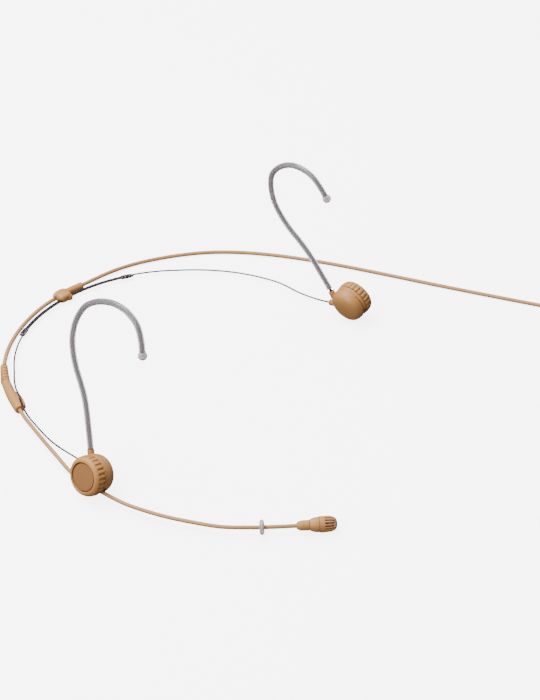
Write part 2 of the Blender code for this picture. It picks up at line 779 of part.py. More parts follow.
def cut_slots(cap, frame):
    """Cuts the sound slots, all round the cap."""
    low, high = CAP_SLOT_LEVELS
    for index in range(CAP_SLOTS):
        turn = Matrix.Rotation(2.0 * math.pi * (index + 0.5) / CAP_SLOTS, 4, "Z")
        points, faces = block((2.0, -CAP_SLOT_HALF_WIDTH, low), (3.6, CAP_SLOT_HALF_WIDTH, high))
        cutter = mesh_object(f"cap_slot_{index + 1:02d}", points, faces, frame @ turn)
        combine(cap, cutter, "DIFFERENCE")


def make_drip_ring():
    """A soft ring on the boom, with rounded rims on both faces."""
    frame = axis_frame(RING_CENTRE, heading_vector(RING_HEADING), Vector((0, 0, 1)))
    bore = BOOM_RADIUS + CLEARANCE
    half = [(bore, -0.9), (1.8, -1.05), (2.6, -0.8), (3.0, -0.25)]
    other_half = [(radius, -level) for radius, level in reversed(half)]
    points, faces = lathe(half + other_half, 24)
    mesh_object("drip_ring", points, faces, frame, "clear")


def make_clip():
    """A moulded clip: a rounded block round the wires and the cable, and a half tube that holds the cable."""
    angle = CLIP_CENTRE_ANGLE
    turn = math.radians(angle)
    outward = Vector((math.cos(turn), math.sin(turn), 0.0))
    tangent = Vector((-math.sin(turn), math.cos(turn), 0.0))
    centre = BAND_CENTRE + outward * CLIP_BLOCK_ARC + Vector((0, 0, CLIP_BLOCK_Z))
    frame = axis_frame(centre, -tangent, Vector((0, 0, 1)))
    # Local x is up, y is across the wires and z runs along them towards the left ear.
    points, faces = ball(1.0, 0.0, 24, 14)
    up, across, along = CLIP_HALF_SIZES
    squeezed = [(max(CLIP_UNDERSIDE, x * up), y * across, z * along) for x, y, z in points]
    body = mesh_object("cable_clip", squeezed, faces, frame, "tan")
    origin = Matrix.Translation(BAND_CENTRE)
    tab_points = arc_points(BAND_CENTRE, CLIP_ARC, angle - 0.5, angle - CLIP_TAB_ARC, 6, WIRE_Z)
    tab = as_mesh(wire("clip_tab", tab_points, CLIP_TAB_RADIUS, origin, None, 3))
    combine(body, tab, "UNION")
    cable_points = arc_points(BAND_CENTRE, CLIP_ARC, angle + 6.0, angle - 12.0, 12, WIRE_Z)
    cable_cut = as_mesh(wire("clip_cable_cut", cable_points, CABLE_RADIUS + 0.25, origin, None, 2))
    combine(body, cable_cut, "DIFFERENCE")
    middle = (RIGHT_WIRE_ARC + LEFT_WIRE_ARC) / 2
    width, height = CLIP_WIRE_SLOT
    inner_edge = arc_points(Vector((0, 0, 0)), middle - width / 2, angle - 6.0, angle + 6.0, 7)
    outer_edge = arc_points(Vector((0, 0, 0)), middle + width / 2, angle + 6.0, angle - 6.0, 7)
    outline = [(point.x, point.y) for point in inner_edge + outer_edge]
    points, faces = prism(outline, WIRE_Z - height / 2, WIRE_Z + height / 2)
    wire_cut = mesh_object("clip_wire_cut", points, faces, origin)
    combine(body, wire_cut, "DIFFERENCE")


def make_cable():
    lead = route_points(CABLE_ROUTE, 5.2)
    wire("cable_lead", lead, CABLE_RADIUS, Matrix.Translation(BAND_CENTRE), "tan_soft")
    top = COIL_BOTTOM + 2 * COIL_HALF_WIDTH
    inner = COIL_MEAN_RADIUS - COIL_HALF_WIDTH
    outer = COIL_MEAN_RADIUS + COIL_HALF_WIDTH
    edge = CABLE_RADIUS
    profile = [
        (inner, COIL_BOTTOM + edge),
        (inner + edge, COIL_BOTTOM),
        (outer - edge, COIL_BOTTOM),
        (outer, COIL_BOTTOM + edge),
        (outer, top - edge),
        (outer - edge, top),
        (inner + edge, top),
        (inner, top - edge),
    ]
    points, faces = lathe(profile, 36)
    mesh_object("cable_coil", points, faces, Matrix.Translation(COIL_CENTRE), "tan_soft")
    half = TIE_WIDTH / 2
    points, faces = block((-half, inner - 0.8, 0.0), (half, outer + 0.8, top + 0.7))
    tie = mesh_object("cable_tie", points, faces, Matrix.Translation(COIL_CENTRE), "dark")
    points, faces = block((-TIE_WIDTH, inner - 0.4, 0.25), (TIE_WIDTH, outer + 0.4, top + 0.3))
    hole = mesh_object("cable_tie_hole", points, faces, Matrix.Translation(COIL_CENTRE))
    combine(tie, hole, "DIFFERENCE")


def make_connector():
    """The tail of the cable leaves the coil level with the connector, which lies beside it."""
    heading = heading_vector(COIL_HEADING)
    touch = COIL_CENTRE + heading_vector(COIL_HEADING - 90.0) * COIL_MEAN_RADIUS
    start = touch + heading * CONNECTOR_REACH + Vector((0, 0, CONNECTOR_RADIUS + 0.1))
    frame = axis_frame(start, heading, Vector((0, 0, 1)))
    tail = [start + heading * reach for reach in (0.0, 3.0, 6.0)]
    wire("cable_tail", tail, CABLE_RADIUS, frame, "tan_soft")
    boot = [(0.0, PLUG_BOOT_START), (1.6, PLUG_BOOT_START), (1.9, 8.0), (3.1, 15.5), (3.1, 18.0), (0.0, 18.0)]
    points, faces = lathe(boot, 24)
    mesh_object("connector_boot", points, faces, frame, "dark")
    collar = CONNECTOR_RADIUS - 0.4
    bore = INSERT_RADIUS + 1.2
    shell = [
        (3.4, 15.6),
        (4.2, 15.6),
        (collar, 17.0),
        (collar, 21.0),
        (CONNECTOR_RADIUS, 21.6),
        (CONNECTOR_RADIUS, CONNECTOR_END),
        (bore, CONNECTOR_END),
        (bore, 27.0),
        (2.0, 27.0),
        (2.0, 24.0),
        (3.4, 24.0),
    ]
    points, faces = lathe(shell, 32)
    barrel = mesh_object("connector_shell", points, faces, frame, "steel")
    low, high = LATCH_LEVELS
    points, faces = block((3.0, -LATCH_HALF_WIDTH, low), (6.0, LATCH_HALF_WIDTH, high))
    window = mesh_object("connector_window", points, faces, frame)
    combine(barrel, window, "DIFFERENCE")
    half = LATCH_HALF_WIDTH - CLEARANCE
    points, faces = block((3.45, -half, low + CLEARANCE), (5.4, half, high - CLEARANCE))
    mesh_object("latch_button", points, faces, frame, "steel")
    make_insert(frame)


def make_insert(frame):
    """The insulator that carries the contacts: a plug with a ring of blind holes in its front face."""
    low, high = INSERT_LEVELS
    points, faces = lathe([(0.0, low), (INSERT_RADIUS, low), (INSERT_RADIUS, high), (0.0, high)], 24)
    insert = mesh_object("connector_insert", points, faces, frame, "dark")
    floor = high - CONTACT_DEPTH
    open_end = high + 1.5
    profile = [(0.0, floor), (CONTACT_RADIUS, floor), (CONTACT_RADIUS, open_end), (0.0, open_end)]
    for index in range(CONTACTS):
        turn = Matrix.Rotation(2.0 * math.pi * (index + 0.5) / CONTACTS, 4, "Z")
        place = turn @ Matrix.Translation((CONTACT_CIRCLE, 0, 0))
        points, faces = lathe(profile, 8)
        hole = mesh_object(f"contact_hole_{index + 1}", points, faces, frame @ place)
        combine(insert, hole, "DIFFERENCE")


def main():
    clear_scene()
    right = Hub(-1, RIGHT_HUB, 0.0)
    left = Hub(1, LEFT_HUB, LEFT_PITCH)
    for hub in (right, left):
        make_hub(hub)
        make_hook(hub)
    make_band()
    make_boom(right)
    make_junction()
    make_capsule()
    make_drip_ring()
    make_clip()
    make_cable()
    make_connector()


main()
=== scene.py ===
"""Finished surfaces of a neckband headset microphone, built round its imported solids.

It lies on a table, z = 0. +X is the way the wearer faces, +Y is the wearer's left, +Z is up. The frame is in
metres. Sizes below are in millimetres unless they say otherwise, and MM turns them into metres.
"""

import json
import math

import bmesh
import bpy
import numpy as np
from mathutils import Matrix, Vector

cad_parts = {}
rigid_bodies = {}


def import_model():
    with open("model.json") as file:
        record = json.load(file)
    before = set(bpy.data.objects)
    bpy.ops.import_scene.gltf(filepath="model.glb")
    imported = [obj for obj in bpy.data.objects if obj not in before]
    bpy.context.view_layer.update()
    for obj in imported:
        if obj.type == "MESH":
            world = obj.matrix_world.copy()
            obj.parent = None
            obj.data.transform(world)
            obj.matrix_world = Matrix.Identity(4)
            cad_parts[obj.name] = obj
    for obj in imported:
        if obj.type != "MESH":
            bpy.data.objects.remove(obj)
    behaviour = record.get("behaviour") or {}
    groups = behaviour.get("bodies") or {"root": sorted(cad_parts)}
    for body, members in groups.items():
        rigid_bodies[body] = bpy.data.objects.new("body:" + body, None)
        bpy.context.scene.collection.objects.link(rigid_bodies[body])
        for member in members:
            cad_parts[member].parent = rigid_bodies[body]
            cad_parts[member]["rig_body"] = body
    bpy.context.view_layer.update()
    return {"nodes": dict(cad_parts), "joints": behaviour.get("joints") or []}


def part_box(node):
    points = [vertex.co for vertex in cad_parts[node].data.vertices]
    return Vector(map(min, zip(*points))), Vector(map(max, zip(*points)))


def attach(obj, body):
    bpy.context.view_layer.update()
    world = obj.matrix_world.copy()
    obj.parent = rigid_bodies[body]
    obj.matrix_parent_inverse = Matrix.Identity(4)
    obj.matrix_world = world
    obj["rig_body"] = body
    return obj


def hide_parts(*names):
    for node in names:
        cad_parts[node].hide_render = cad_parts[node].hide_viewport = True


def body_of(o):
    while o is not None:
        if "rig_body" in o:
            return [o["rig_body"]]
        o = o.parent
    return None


bl_info = {
    "name": "Headset Microphone",
    "version": (1, 0, 0),
    "blender": (4, 5, 0),
    "location": "3D View > Sidebar > Headset",
    "description": "Builds the finished surfaces of a neckband headset microphone round its solids",
    "category": "Add Mesh",
}

for leftover in list(bpy.data.objects):
    bpy.data.objects.remove(leftover, do_unlink=True)
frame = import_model()

MM = 0.001
UP = Vector((0.0, 0.0, 1.0))
LEFT_PITCH = 18.0

# Turned profiles: (radius, level along the axis, rounding of that corner).
# Hub levels run outward from the head.
KNOB_RADIUS = 8.1
GRIP_LEVELS = (0.6, 4.2)
RECESS_RADIUS = 5.92
KNOB_PROFILE = [
    (1.5, 1.9, 0.1),
    (3.2, 1.9, 0.2),
    (3.2, 3.3, 0.3),
    (6.7, 3.3, 0.4),
    (6.7, 1.1, 0.15),
    (KNOB_RADIUS, 1.1, 0.2),
    (KNOB_RADIUS, 3.0, 0.9),
    (7.72, 4.5, 0.8),
    (6.85, 5.38, 0.6),
    (RECESS_RADIUS, 5.5, 0.22),
    (RECESS_RADIUS, 3.65, 0.1),
    (5.1, 3.65, 0.1),
    (5.1, 4.6, 0.1),
    (1.5, 4.6, 0.1),
]
DISC_PROFILE = [(0.0, 4.65, 0), (5.4, 4.65, 0.06), (5.4, 5.25, 0.16), (0.0, 5.25, 0)]
BASE_RADIUS = 7.9
BASE_PROFILE = [
    (0.0, -3.4, 0),
    (6.7, -3.4, 1.0),
    (6.7, 0.8, 0.12),
    (BASE_RADIUS, 0.8, 0.22),
    (BASE_RADIUS, -1.2, 0.5),
    (7.8, -2.8, 0.8),
    (7.05, -4.8, 1.2),
    (4.9, -6.0, 1.3),
    (2.2, -6.42, 1.0),
    (0.0, -6.48, 0),
]
BOOM_LEVEL = -0.5
MOUTH_HALF_HEIGHT = 1.05
MOUTH_ANGLES = (-76.0, -19.0)
REAR_MOUTH_ANGLES = (-62.0, -19.0)
SEAM_LEVELS = (-1.2, -0.7)
SEAM_ANGLES = (-19.5, 37.0)
SPLIT_LEVELS = (-1.03, -0.87)
SPLIT_ANGLES = (36.0, 108.0)
SPLIT_DEPTH = 0.3
BAND_SOCKET_TIP = (-10.0, 0.7, -3.5)
CUTTER_RADIUS = 9.0
WALL_INNER_RADIUS = 5.9
SOCKET_PROFILE = [(0.0, -3.4, 0), (1.5, -3.4, 0.3), (1.4, -2.0, 0.6), (1.4, 0.0, 0.25), (0.0, 0.0, 0)]
SOCKET_BORE_LEVELS = (-2.9, 1.0)
HOOK_BORE = 0.86
BAND_BORE = 0.65
GRIP_FADE = (7.2, 7.6)

# Round wires and tubes: radii.
HOOK_WIRE_RADIUS = 0.6
HOOK_BALL_RADIUS = 1.8
NECK_WIRE_RADIUS = 0.38
BOOM_RADIUS = 0.8
CABLE_RADIUS = 0.9
BOOT_RADIUS = 2.0
LOBE_RADIUS = 1.25
TAB_RADIUS = 1.6

# Microphone capsule: levels run along its axis from the boom.
NECK_PROFILE = [(1.0, 0.0, 0.05), (1.3, 0.0, 0.3), (1.95, 1.3, 0.9), (2.05, 4.75, 0.25), (1.0, 4.75, 0.05)]
CAPSULE_BODY_PROFILE = [
    (1.2, 5.0, 0.05),
    (2.0, 4.8, 0.25),
    (2.3, 5.3, 0.5),
    (2.85, 6.7, 0.9),
    (2.98, 8.42, 0.1),
    (2.45, 8.42, 0.05),
    (2.45, 9.2, 0.05),
    (1.95, 9.2, 0.05),
    (1.95, 6.4, 0.1),
    (1.2, 6.4, 0.05),
]
CAP_RIB_ROWS = [
    (3.1, 8.56),
    (3.15, 8.7),
    (3.16, 9.5),
    (3.16, 10.3),
    (3.16, 10.55),
    (3.15, 10.85),
    (3.1, 12.2),
    (2.96, 13.3),
    (2.66, 14.15),
    (2.2, 14.8),
    (1.75, 15.12),
    (1.5, 15.22),
    (0.9, 15.42),
]
CAP_SLOT_ROWS = (4, 11)
CAP_WALL = 0.42
RING_PROFILE = [
    (1.0, -0.8, 0.1),
    (1.9, -0.95, 0.3),
    (2.95, -0.5, 0.45),
    (2.95, 0.5, 0.45),
    (1.9, 0.95, 0.3),
    (1.0, 0.8, 0.1),
]

# Neckband, its ferrules and the cable's clip, round a vertical axis.
BAND_CENTRE = Vector((-22.0, 4.0, 0.0)) * MM
WIRE_ARCS = (70.75, 71.7)
WIRE_LEVEL = 1.6
FERRULE_LENGTH = 4.8
FERRULE_BORE = 0.52
FERRULE_ANGLES = {"right_band_ferrule": 152.9, "left_band_ferrule": 203.6}
CLIP_BLOCKS = (
    ("block", (2.15, 2.95, 3.5), (0.15, -0.3, 0.0), 3.0),
    ("lobe", (1.5, 1.75, 3.9), (1.0, 1.4, -0.3), 2.4),
    ("foot", (1.5, 1.3, 1.4), (-0.4, -2.3, 2.0), 2.6),
)
CLIP_ANGLE = 178.5
CLIP_ARC = 74.5

# Boot between boom and cable: points and radii along it.
BOOT_ROUTE = [
    (-46.1, -64.9, 2.4),
    (-49.6, -63.3, 2.3),
    (-53.8, -61.4, 2.25),
    (-59.2, -58.7, 2.2),
    (-65.0, -55.5, 2.2),
]
BOOT_GIRTHS = [1.0, 1.08, 1.1, 1.1, 1.1, 1.1, 1.08, 1.05, 1.02, 0.98, 0.92]
LOBE_ROUTE = [(-45.9, -63.1, 2.75), (-48.6, -61.6, 2.75), (-52.4, -59.8, 2.7), (-56.4, -58.1, 2.6)]
LOBE_GIRTHS = [0.9, 1.05, 1.1, 1.05, 0.85, 0.45]
RELIEF_ROUTE = [(-65.0, -55.6, 2.2), (-69.6, -52.0, 2.15), (-73.9, -48.4, 2.1)]

# Cable: the stretch that lies loose, then a coil that holds the rest.
CABLE_ROUTE = [
    (-74.1, -48.3, 2.1),
    (-80.2, -41.6, 1.6),
    (-86.0, -33.6, 1.0),
    (-90.8, -24.3, 1.0),
    (-93.9, -15.0, 1.3),
    (-95.8, -6.0, 1.6),
    (-96.5, 3.0, 1.6),
    (-96.3, 11.5, 1.6),
    (-95.1, 20.5, 1.6),
    (-94.6, 29.5, 1.35),
    (-93.1, 40.2, 1.0),
    (-89.0, 51.6, 0.9),
    (-82.8, 62.9, 0.9),
    (-74.3, 74.6, 0.9),
    (-64.6, 83.9, 0.9),
    (-52.1, 92.6, 0.9),
    (-37.1, 100.6, 0.9),
    (-19.1, 108.4, 0.9),
    (-1.3, 115.1, 0.9),
    (14.5, 120.8, 0.9),
    (32.0, 127.2, 0.9),
    (51.8, 134.7, 0.9),
    (66.0, 140.2, 0.9),
    (75.7, 143.9, 0.9),
]
COIL_CENTRE = Vector((82.0, 157.0, 0.0))
COIL_START_ANGLE = 283.0
COIL_MEAN_RADIUS = 10.0
COIL_RADII = (12.7, 10.9, 9.1, 7.3)
COIL_LEVELS = (1.4, 3.2, 5.0, 6.8)
COIL_LAYERS = (COIL_RADII, COIL_RADII[::-1], COIL_RADII, COIL_RADII[:1:-1])
COIL_TURNS = [(radius, level) for radii, level in zip(COIL_LAYERS, COIL_LEVELS) for radius in radii]
POINTS_PER_TURN = 24
STRAP_THICKNESS = 0.32
STRAP_STEPS = 64
CONNECTOR_HEADING = 20.9
CONNECTOR_OFFSET = 10.7
CONNECTOR_LEVEL = 4.9

# Plug: levels run along its axis from the end of its boot that the cable enters.
PLUG_BOOT_PROFILE = [
    (0.92, 6.3, 0.1),
    (1.7, 6.3, 0.3),
    (2.0, 8.2, 0.6),
    (3.1, 15.4, 0.5),
    (3.1, 18.0, 0.1),
    (0.92, 18.0, 0.1),
]
PLUG_SHELL_PROFILE = [
    (3.4, 15.6, 0.1),
    (4.15, 15.6, 0.3),
    (4.4, 17.2, 0.4),
    (4.4, 21.2, 0.15),
    (4.8, 21.7, 0.2),
    (4.8, 41.0, 0.25),
    (4.1, 41.0, 0.2),
    (4.1, 27.0, 0.1),
    (2.0, 27.0, 0.1),
    (2.0, 24.0, 0.1),
    (3.4, 24.0, 0.1),
]
PLUG_INSERT_PROFILE = [(0.0, 27.3, 0), (2.9, 27.3, 0.2), (2.9, 38.5, 0.25), (0.0, 38.5, 0)]
PIN_HOLE_COUNT = 4
PIN_CIRCLE_RADIUS = 1.7
PIN_HOLE_RADIUS = 0.45
RIDGE_FOOT = 4.3
RIDGE_TOP = 4.62
RIDGE_HALF_WIDTH = 0.13
RIDGE_LEVELS = (17.6, 20.8)
RIDGE_RUN = 0.3

# Camera: its bearings round the object, the point it looks at and its distance.
CAMERA_AZIMUTH = 41.16
CAMERA_ELEVATION = 34.9
CAMERA_TARGET = Vector((0.53, 37.28, 0.0))
CAMERA_DISTANCE = 820.6
CAMERA_LENS = 98.16


def linear(red, green, blue):
    """A colour given in display values from 0 to 255, as linear light with full alpha."""
    light = []
    for value in (red, green, blue):
        share = value / 255.0
        light.append(share / 12.92 if share <= 0.04045 else ((share + 0.055) / 1.055) ** 2.4)
    return (*light, 1.0)


def shade(colour, factor):
    """The colour made lighter or darker by a factor."""
    return (*[min(1.0, value * factor) for value in colour[:3]], 1.0)


# ---------------------------------------------------------------- node trees


class Socket:
    """A node's output socket. Arithmetic on it adds Math nodes."""

    def __init__(self, builder, socket):
        self.builder = builder
        self.socket = socket

    def math(self, operation, *others):
        """This value, and any others after it, put through one Math node."""
        return self.builder.calculate(operation, self, *others)

    def __add__(self, other):
        return self.math("ADD", other)

    def __sub__(self, other):
        return self.math("SUBTRACT", other)

    def __rsub__(self, other):
        return self.builder.calculate("SUBTRACT", other, self)

    def __mul__(self, other):
        return self.math("MULTIPLY", other)

    def __truediv__(self, other):
        return self.math("DIVIDE", other)

    def __rtruediv__(self, other):
        return self.builder.calculate("DIVIDE", other, self)

    __radd__ = __add__
    __rmul__ = __mul__

    def ramp(self, low, high):
        """0 below low, 1 above high and a smooth rise between them."""
        inputs = {"Value": self, "From Min": low, "From Max": high}
        return self.builder.node("ShaderNodeMapRange", {"interpolation_type": "SMOOTHSTEP"}, inputs)


class Builder:
    """Adds nodes to one tree."""

    def __init__(self, tree):
        self.tree = tree

    def node(self, kind, settings=None, inputs=None, output=0):
        """A node of a kind: its settings are set first, then the values or links of its sockets."""
        made = self.tree.nodes.new(kind)
        for name, value in (settings or {}).items():
            setattr(made, name, value)
        for key, value in (inputs or {}).items():
            self.feed(self.pick(made.inputs, key), value)
        return None if output is None else Socket(self, self.pick(made.outputs, output))

    def calculate(self, operation, *values):
        return self.node("ShaderNodeMath", {"operation": operation}, dict(enumerate(values)))

    def pick(self, sockets, key):
        enabled = [socket for socket in sockets if socket.enabled]
        if isinstance(key, int):
            return enabled[key]
        return next(socket for socket in enabled if socket.name == key)

    def feed(self, socket, value):
        if isinstance(value, Socket):
            self.tree.links.new(value.socket, socket)
        else:
            socket.default_value = value


class Finish(Builder):
    """A procedural material. Patterns are placed by object coordinates, in metres."""

    def __init__(self, name, **constants):
        self.material = bpy.data.materials.new(name)
        self.material.use_nodes = True
        super().__init__(self.material.node_tree)
        self.shader = self.tree.nodes["Principled BSDF"]
        for key, value in constants.items():
            self.shader.inputs[key.replace("_", " ")].default_value = value
        self.place = self.node("ShaderNodeTexCoord", output="Object")

    def noise(self, size, detail=3.0, stretch=(1.0, 1.0, 1.0)):
        """Noise from 0 to 1 with features of a size in millimetres."""
        place = self.node("ShaderNodeMapping", inputs={"Vector": self.place, "Scale": stretch})
        inputs = {"Vector": place, "Scale": 1.0 / (size * MM), "Detail": detail}
        return self.node("ShaderNodeTexNoise", inputs=inputs)

    def cells(self, size):
        inputs = {"Vector": self.place, "Scale": 1.0 / (size * MM)}
        return self.node("ShaderNodeTexVoronoi", inputs=inputs)

    def mix(self, first, second, factor):
        inputs = {"Factor": factor, "A": first, "B": second}
        return self.node("ShaderNodeMix", {"data_type": "RGBA"}, inputs)

    def bump(self, height, depth, strength=1.0):
        """A bump whose height of 1 stands for a depth in millimetres."""
        inputs = {"Height": height, "Distance": depth * MM, "Strength": strength}
        self.set("Normal", self.node("ShaderNodeBump", inputs=inputs))

    def set(self, name, value):
        self.feed(self.shader.inputs[name], value)

    def edge(self):
        """1 on outward edges, where handling polishes them, and 0 elsewhere."""
        return self.node("ShaderNodeNewGeometry", output="Pointiness").ramp(0.51, 0.56)


def moulded_plastic(name, colour, roughness=0.5, grain=0.16, depth=0.012):
    """Spark-textured moulded plastic: a fine grain, faint flow clouds and edges polished by handling."""
    finish = Finish(name, Specular_IOR_Level=0.42)
    clouds = finish.noise(5.0)
    specks = finish.noise(grain, 2.0)
    worn = finish.edge()
    body = finish.mix(shade(colour, 0.93), shade(colour, 1.05), clouds)
    body = finish.mix(body, shade(colour, 0.86), (1.0 - specks.ramp(0.3, 0.5)) * 0.35)
    finish.set("Base Color", finish.mix(body, shade(colour, 1.12), worn * 0.3))
    finish.set("Roughness", roughness + (clouds - 0.5) * 0.1 - worn * 0.12 + (specks - 0.5) * 0.08)
    finish.bump(specks, depth)
    return finish.material


def soft_jacket(name, colour, roughness=0.46):
    """Extruded or moulded elastomer: matt, with a faint haze, fine drag marks and dust specks."""
    finish = Finish(name, Specular_IOR_Level=0.4, Sheen_Weight=0.12, Sheen_Roughness=0.5)
    haze = finish.noise(9.0)
    skin = finish.noise(0.35, 3.0)
    dust = finish.noise(0.7, 1.0).ramp(0.68, 0.8)
    body = finish.mix(shade(colour, 0.92), shade(colour, 1.06), haze)
    body = finish.mix(body, shade(colour, 0.84), (1.0 - skin.ramp(0.25, 0.55)) * 0.3)
    finish.set("Base Color", finish.mix(body, linear(232, 214, 196), dust * 0.25))
    finish.set("Roughness", roughness + (haze - 0.5) * 0.12 + dust * 0.15)
    finish.bump(skin, 0.012)
    return finish.material


def metal(name, colour, roughness, streak=(1.0, 1.0, 1.0), grain=0.4, stain=0.25):
    """Bare metal with fine streaks along one direction and faint dull stains."""
    finish = Finish(name, Metallic=1.0)
    lines = finish.noise(grain, 3.0, streak)
    stains = finish.noise(2.6).ramp(0.45, 0.75)
    body = finish.mix(shade(colour, 0.8), shade(colour, 1.12), lines)
    finish.set("Base Color", finish.mix(body, shade(colour, 0.62), stains * stain))
    finish.set("Roughness", roughness + (lines - 0.5) * 0.16 + stains * 0.12)
    finish.bump(lines, 0.006)
    return finish.material


def clear_tube(name, colour, clarity, roughness):
    """Clear vinyl or silicone: transmits light, with a slight haze and fine surface ripple."""
    finish = Finish(name, Transmission_Weight=clarity, IOR=1.41, Specular_IOR_Level=0.5)
    haze = finish.noise(6.0)
    ripple = finish.noise(4.0, 1.0)
    finish.set("Base Color", finish.mix(shade(colour, 0.96), shade(colour, 1.03), haze))
    finish.set("Roughness", roughness + haze * 0.06)
    finish.bump(ripple, 0.006)
    return finish.material


def black_polymer(name, colour, roughness):
    """Black rubber or plastic, with a fine grain and rubbed edges."""
    finish = Finish(name, Specular_IOR_Level=0.45)
    grain = finish.noise(0.22, 2.0)
    clouds = finish.noise(4.0)
    worn = finish.edge()
    body = finish.mix(shade(colour, 0.8), shade(colour, 1.25), clouds)
    finish.set("Base Color", finish.mix(body, shade(colour, 2.2), worn * 0.4))
    finish.set("Roughness", roughness + (grain - 0.5) * 0.14 - worn * 0.1)
    finish.bump(grain, 0.014)
    return finish.material


def woven_screen(name, colour):
    """Fine acoustic mesh: open cells between shiny strands. The cells' dark colour is painted shade seen
    through the holes.
    """
    finish = Finish(name, Specular_IOR_Level=0.5)
    cell = finish.cells(0.16).ramp(0.25, 0.6)
    # Painted shade: the open cells get 0.3 of the colour, for the shade seen through the holes. The lighter
    # strands are the mesh's own colour.
    finish.set("Base Color", finish.mix(shade(colour, 0.3), shade(colour, 2.0), cell))
    finish.set("Roughness", 0.75 - cell * 0.25)
    finish.bump(cell, 0.03)
    return finish.material


FINISHES = {}
INNER_SLOTS = {
    "right_clamp_stud": "inner_steel",
    "left_clamp_stud": "inner_steel",
    "right_clamp_washer": "inner_steel",
    "left_clamp_washer": "inner_steel",
    "right_boom_carrier": "tan_plastic",
    "left_boom_carrier": "tan_plastic",
    "capsule_element": "inner_steel",
    "capsule_screen": "dark_mesh",
    "junction_splice": "brass_splice",
}


def finish_of(slot):
    """The material of one of the record's slots."""
    return FINISHES[slot]


# ---------------------------------------------------------------- geometry trees


class GeometryTree(Builder):
    """A Geometry Nodes tree with named inputs. It ends in Realize Instances and Set Material."""

    KINDS = {"Count": "NodeSocketInt", "Sides": "NodeSocketInt", "Material": "NodeSocketMaterial"}

    def __init__(self, name, inputs):
        super().__init__(bpy.data.node_groups.new(name, "GeometryNodeTree"))
        self.tree.is_modifier = True
        interface = self.tree.interface
        interface.new_socket("Geometry", in_out="INPUT", socket_type="NodeSocketGeometry")
        for label in (*inputs, "Material"):
            kind = self.KINDS.get(label, "NodeSocketFloat")
            interface.new_socket(label, in_out="INPUT", socket_type=kind)
        interface.new_socket("Geometry", in_out="OUTPUT", socket_type="NodeSocketGeometry")
        self.source = self.tree.nodes.new("NodeGroupInput")

    def given(self, label):
        return Socket(self, self.source.outputs[label])

    def end(self, geometry):
        real = self.node("GeometryNodeRealizeInstances", inputs={"Geometry": geometry})
        inputs = {"Geometry": real, "Material": self.given("Material")}
        finished = self.node("GeometryNodeSetMaterial", inputs=inputs)
        self.node("NodeGroupOutput", inputs={0: finished}, output=None)
        return self.tree


def sweep(tree, scale):
    """Carries a circle along the guide line, its radius scaled by a field."""
    circle = {"Resolution": tree.given("Sides"), "Radius": tree.given("Radius")}
    inputs = {
        "Curve": tree.node("GeometryNodeMeshToCurve", inputs={"Mesh": tree.given("Geometry")}),
        "Profile Curve": tree.node("GeometryNodeCurvePrimitiveCircle", inputs=circle),
        "Scale": scale,
        "Fill Caps": True,
    }
    return tree.end(tree.node("GeometryNodeCurveToMesh", inputs=inputs))


def tube_tree():
    """A round tube along a guide line. The guide's girth attribute scales its radius."""
    tree = GeometryTree("tube_along_line", ("Radius", "Sides"))
    return sweep(tree, tree.node("GeometryNodeInputNamedAttribute", {"data_type": "FLOAT"}, {"Name": "girth"}))


def ribbed_tree():
    """A tapered sleeve along a guide line, with rounded ribs at even steps."""
    tree = GeometryTree("ribbed_sleeve", ("Radius", "Sides", "Count", "Rib depth", "Taper"))
    along = tree.node("GeometryNodeSplineParameter", output="Factor")
    phase = (along * tree.given("Count")).math("FRACT")
    hollow = phase.ramp(0.52, 0.68) * (1.0 - phase.ramp(0.84, 1.0))
    return sweep(tree, 1.0 - along * tree.given("Taper") - hollow * tree.given("Rib depth"))


def grip_tree():
    """Presses rounded finger notches into the rim of a wheel that is turned about z."""
    labels = ("Count", "Depth", "Inner radius", "Outer radius", "Lower level", "Upper level")
    tree = GeometryTree("rim_notches", labels)
    position = tree.node("GeometryNodeInputPosition")
    x, y, z = [tree.node("ShaderNodeSeparateXYZ", inputs={0: position}, output=axis) for axis in range(3)]
    radius = (x * x + y * y).math("SQRT")
    wave = (y.math("ARCTAN2", x) * tree.given("Count")).math("COSINE")
    notch = wave.ramp(-0.35, 0.75)
    edge = 0.35 * MM
    rise = (z - tree.given("Lower level")) / edge
    fall = (tree.given("Upper level") - z) / edge
    rim = radius.ramp(tree.given("Inner radius"), tree.given("Outer radius"))
    reach = rise.ramp(0.0, 1.0) * fall.ramp(0.0, 1.0) * rim
    inward = -1.0 * reach * notch * tree.given("Depth") / radius
    flat = tree.node("ShaderNodeCombineXYZ", inputs={0: x * inward, 1: y * inward})
    inputs = {"Geometry": tree.given("Geometry"), "Offset": flat}
    return tree.end(tree.node("GeometryNodeSetPosition", inputs=inputs))


def ring_tree():
    """Copies of one element turned evenly about z and joined where they meet."""
    tree = GeometryTree("copies_round_axis", ("Count", "Merge distance"))
    points = tree.node("GeometryNodeMeshCircle", inputs={"Vertices": tree.given("Count"), "Radius": 0.0})
    index = tree.node("GeometryNodeInputIndex")
    spin = {"Axis": (0.0, 0.0, 1.0), "Angle": 2.0 * math.pi * index / tree.given("Count")}
    copies = {
        "Points": points,
        "Instance": tree.given("Geometry"),
        "Rotation": tree.node("FunctionNodeAxisAngleToRotation", inputs=spin),
    }
    placed = tree.node("GeometryNodeInstanceOnPoints", inputs=copies)
    real = tree.node("GeometryNodeRealizeInstances", inputs={"Geometry": placed})
    merge = {"Geometry": real, "Distance": tree.given("Merge distance")}
    return tree.end(tree.node("GeometryNodeMergeByDistance", inputs=merge))


TREES = {}


def run_tree(obj, maker, material, **values):
    """Runs a geometry tree on an object and keeps the result as its plain mesh."""
    tree = TREES.get(maker) or TREES.setdefault(maker, maker())
    modifier = obj.modifiers.new(tree.name, "NODES")
    modifier.node_group = tree
    values = {key.replace("_", " "): value for key, value in values.items()}
    values["Material"] = material
    for item in tree.interface.items_tree:
        if item.in_out == "INPUT" and item.name in values:
            modifier[item.identifier] = values[item.name]
    return settle(obj)


# ---------------------------------------------------------------- meshes


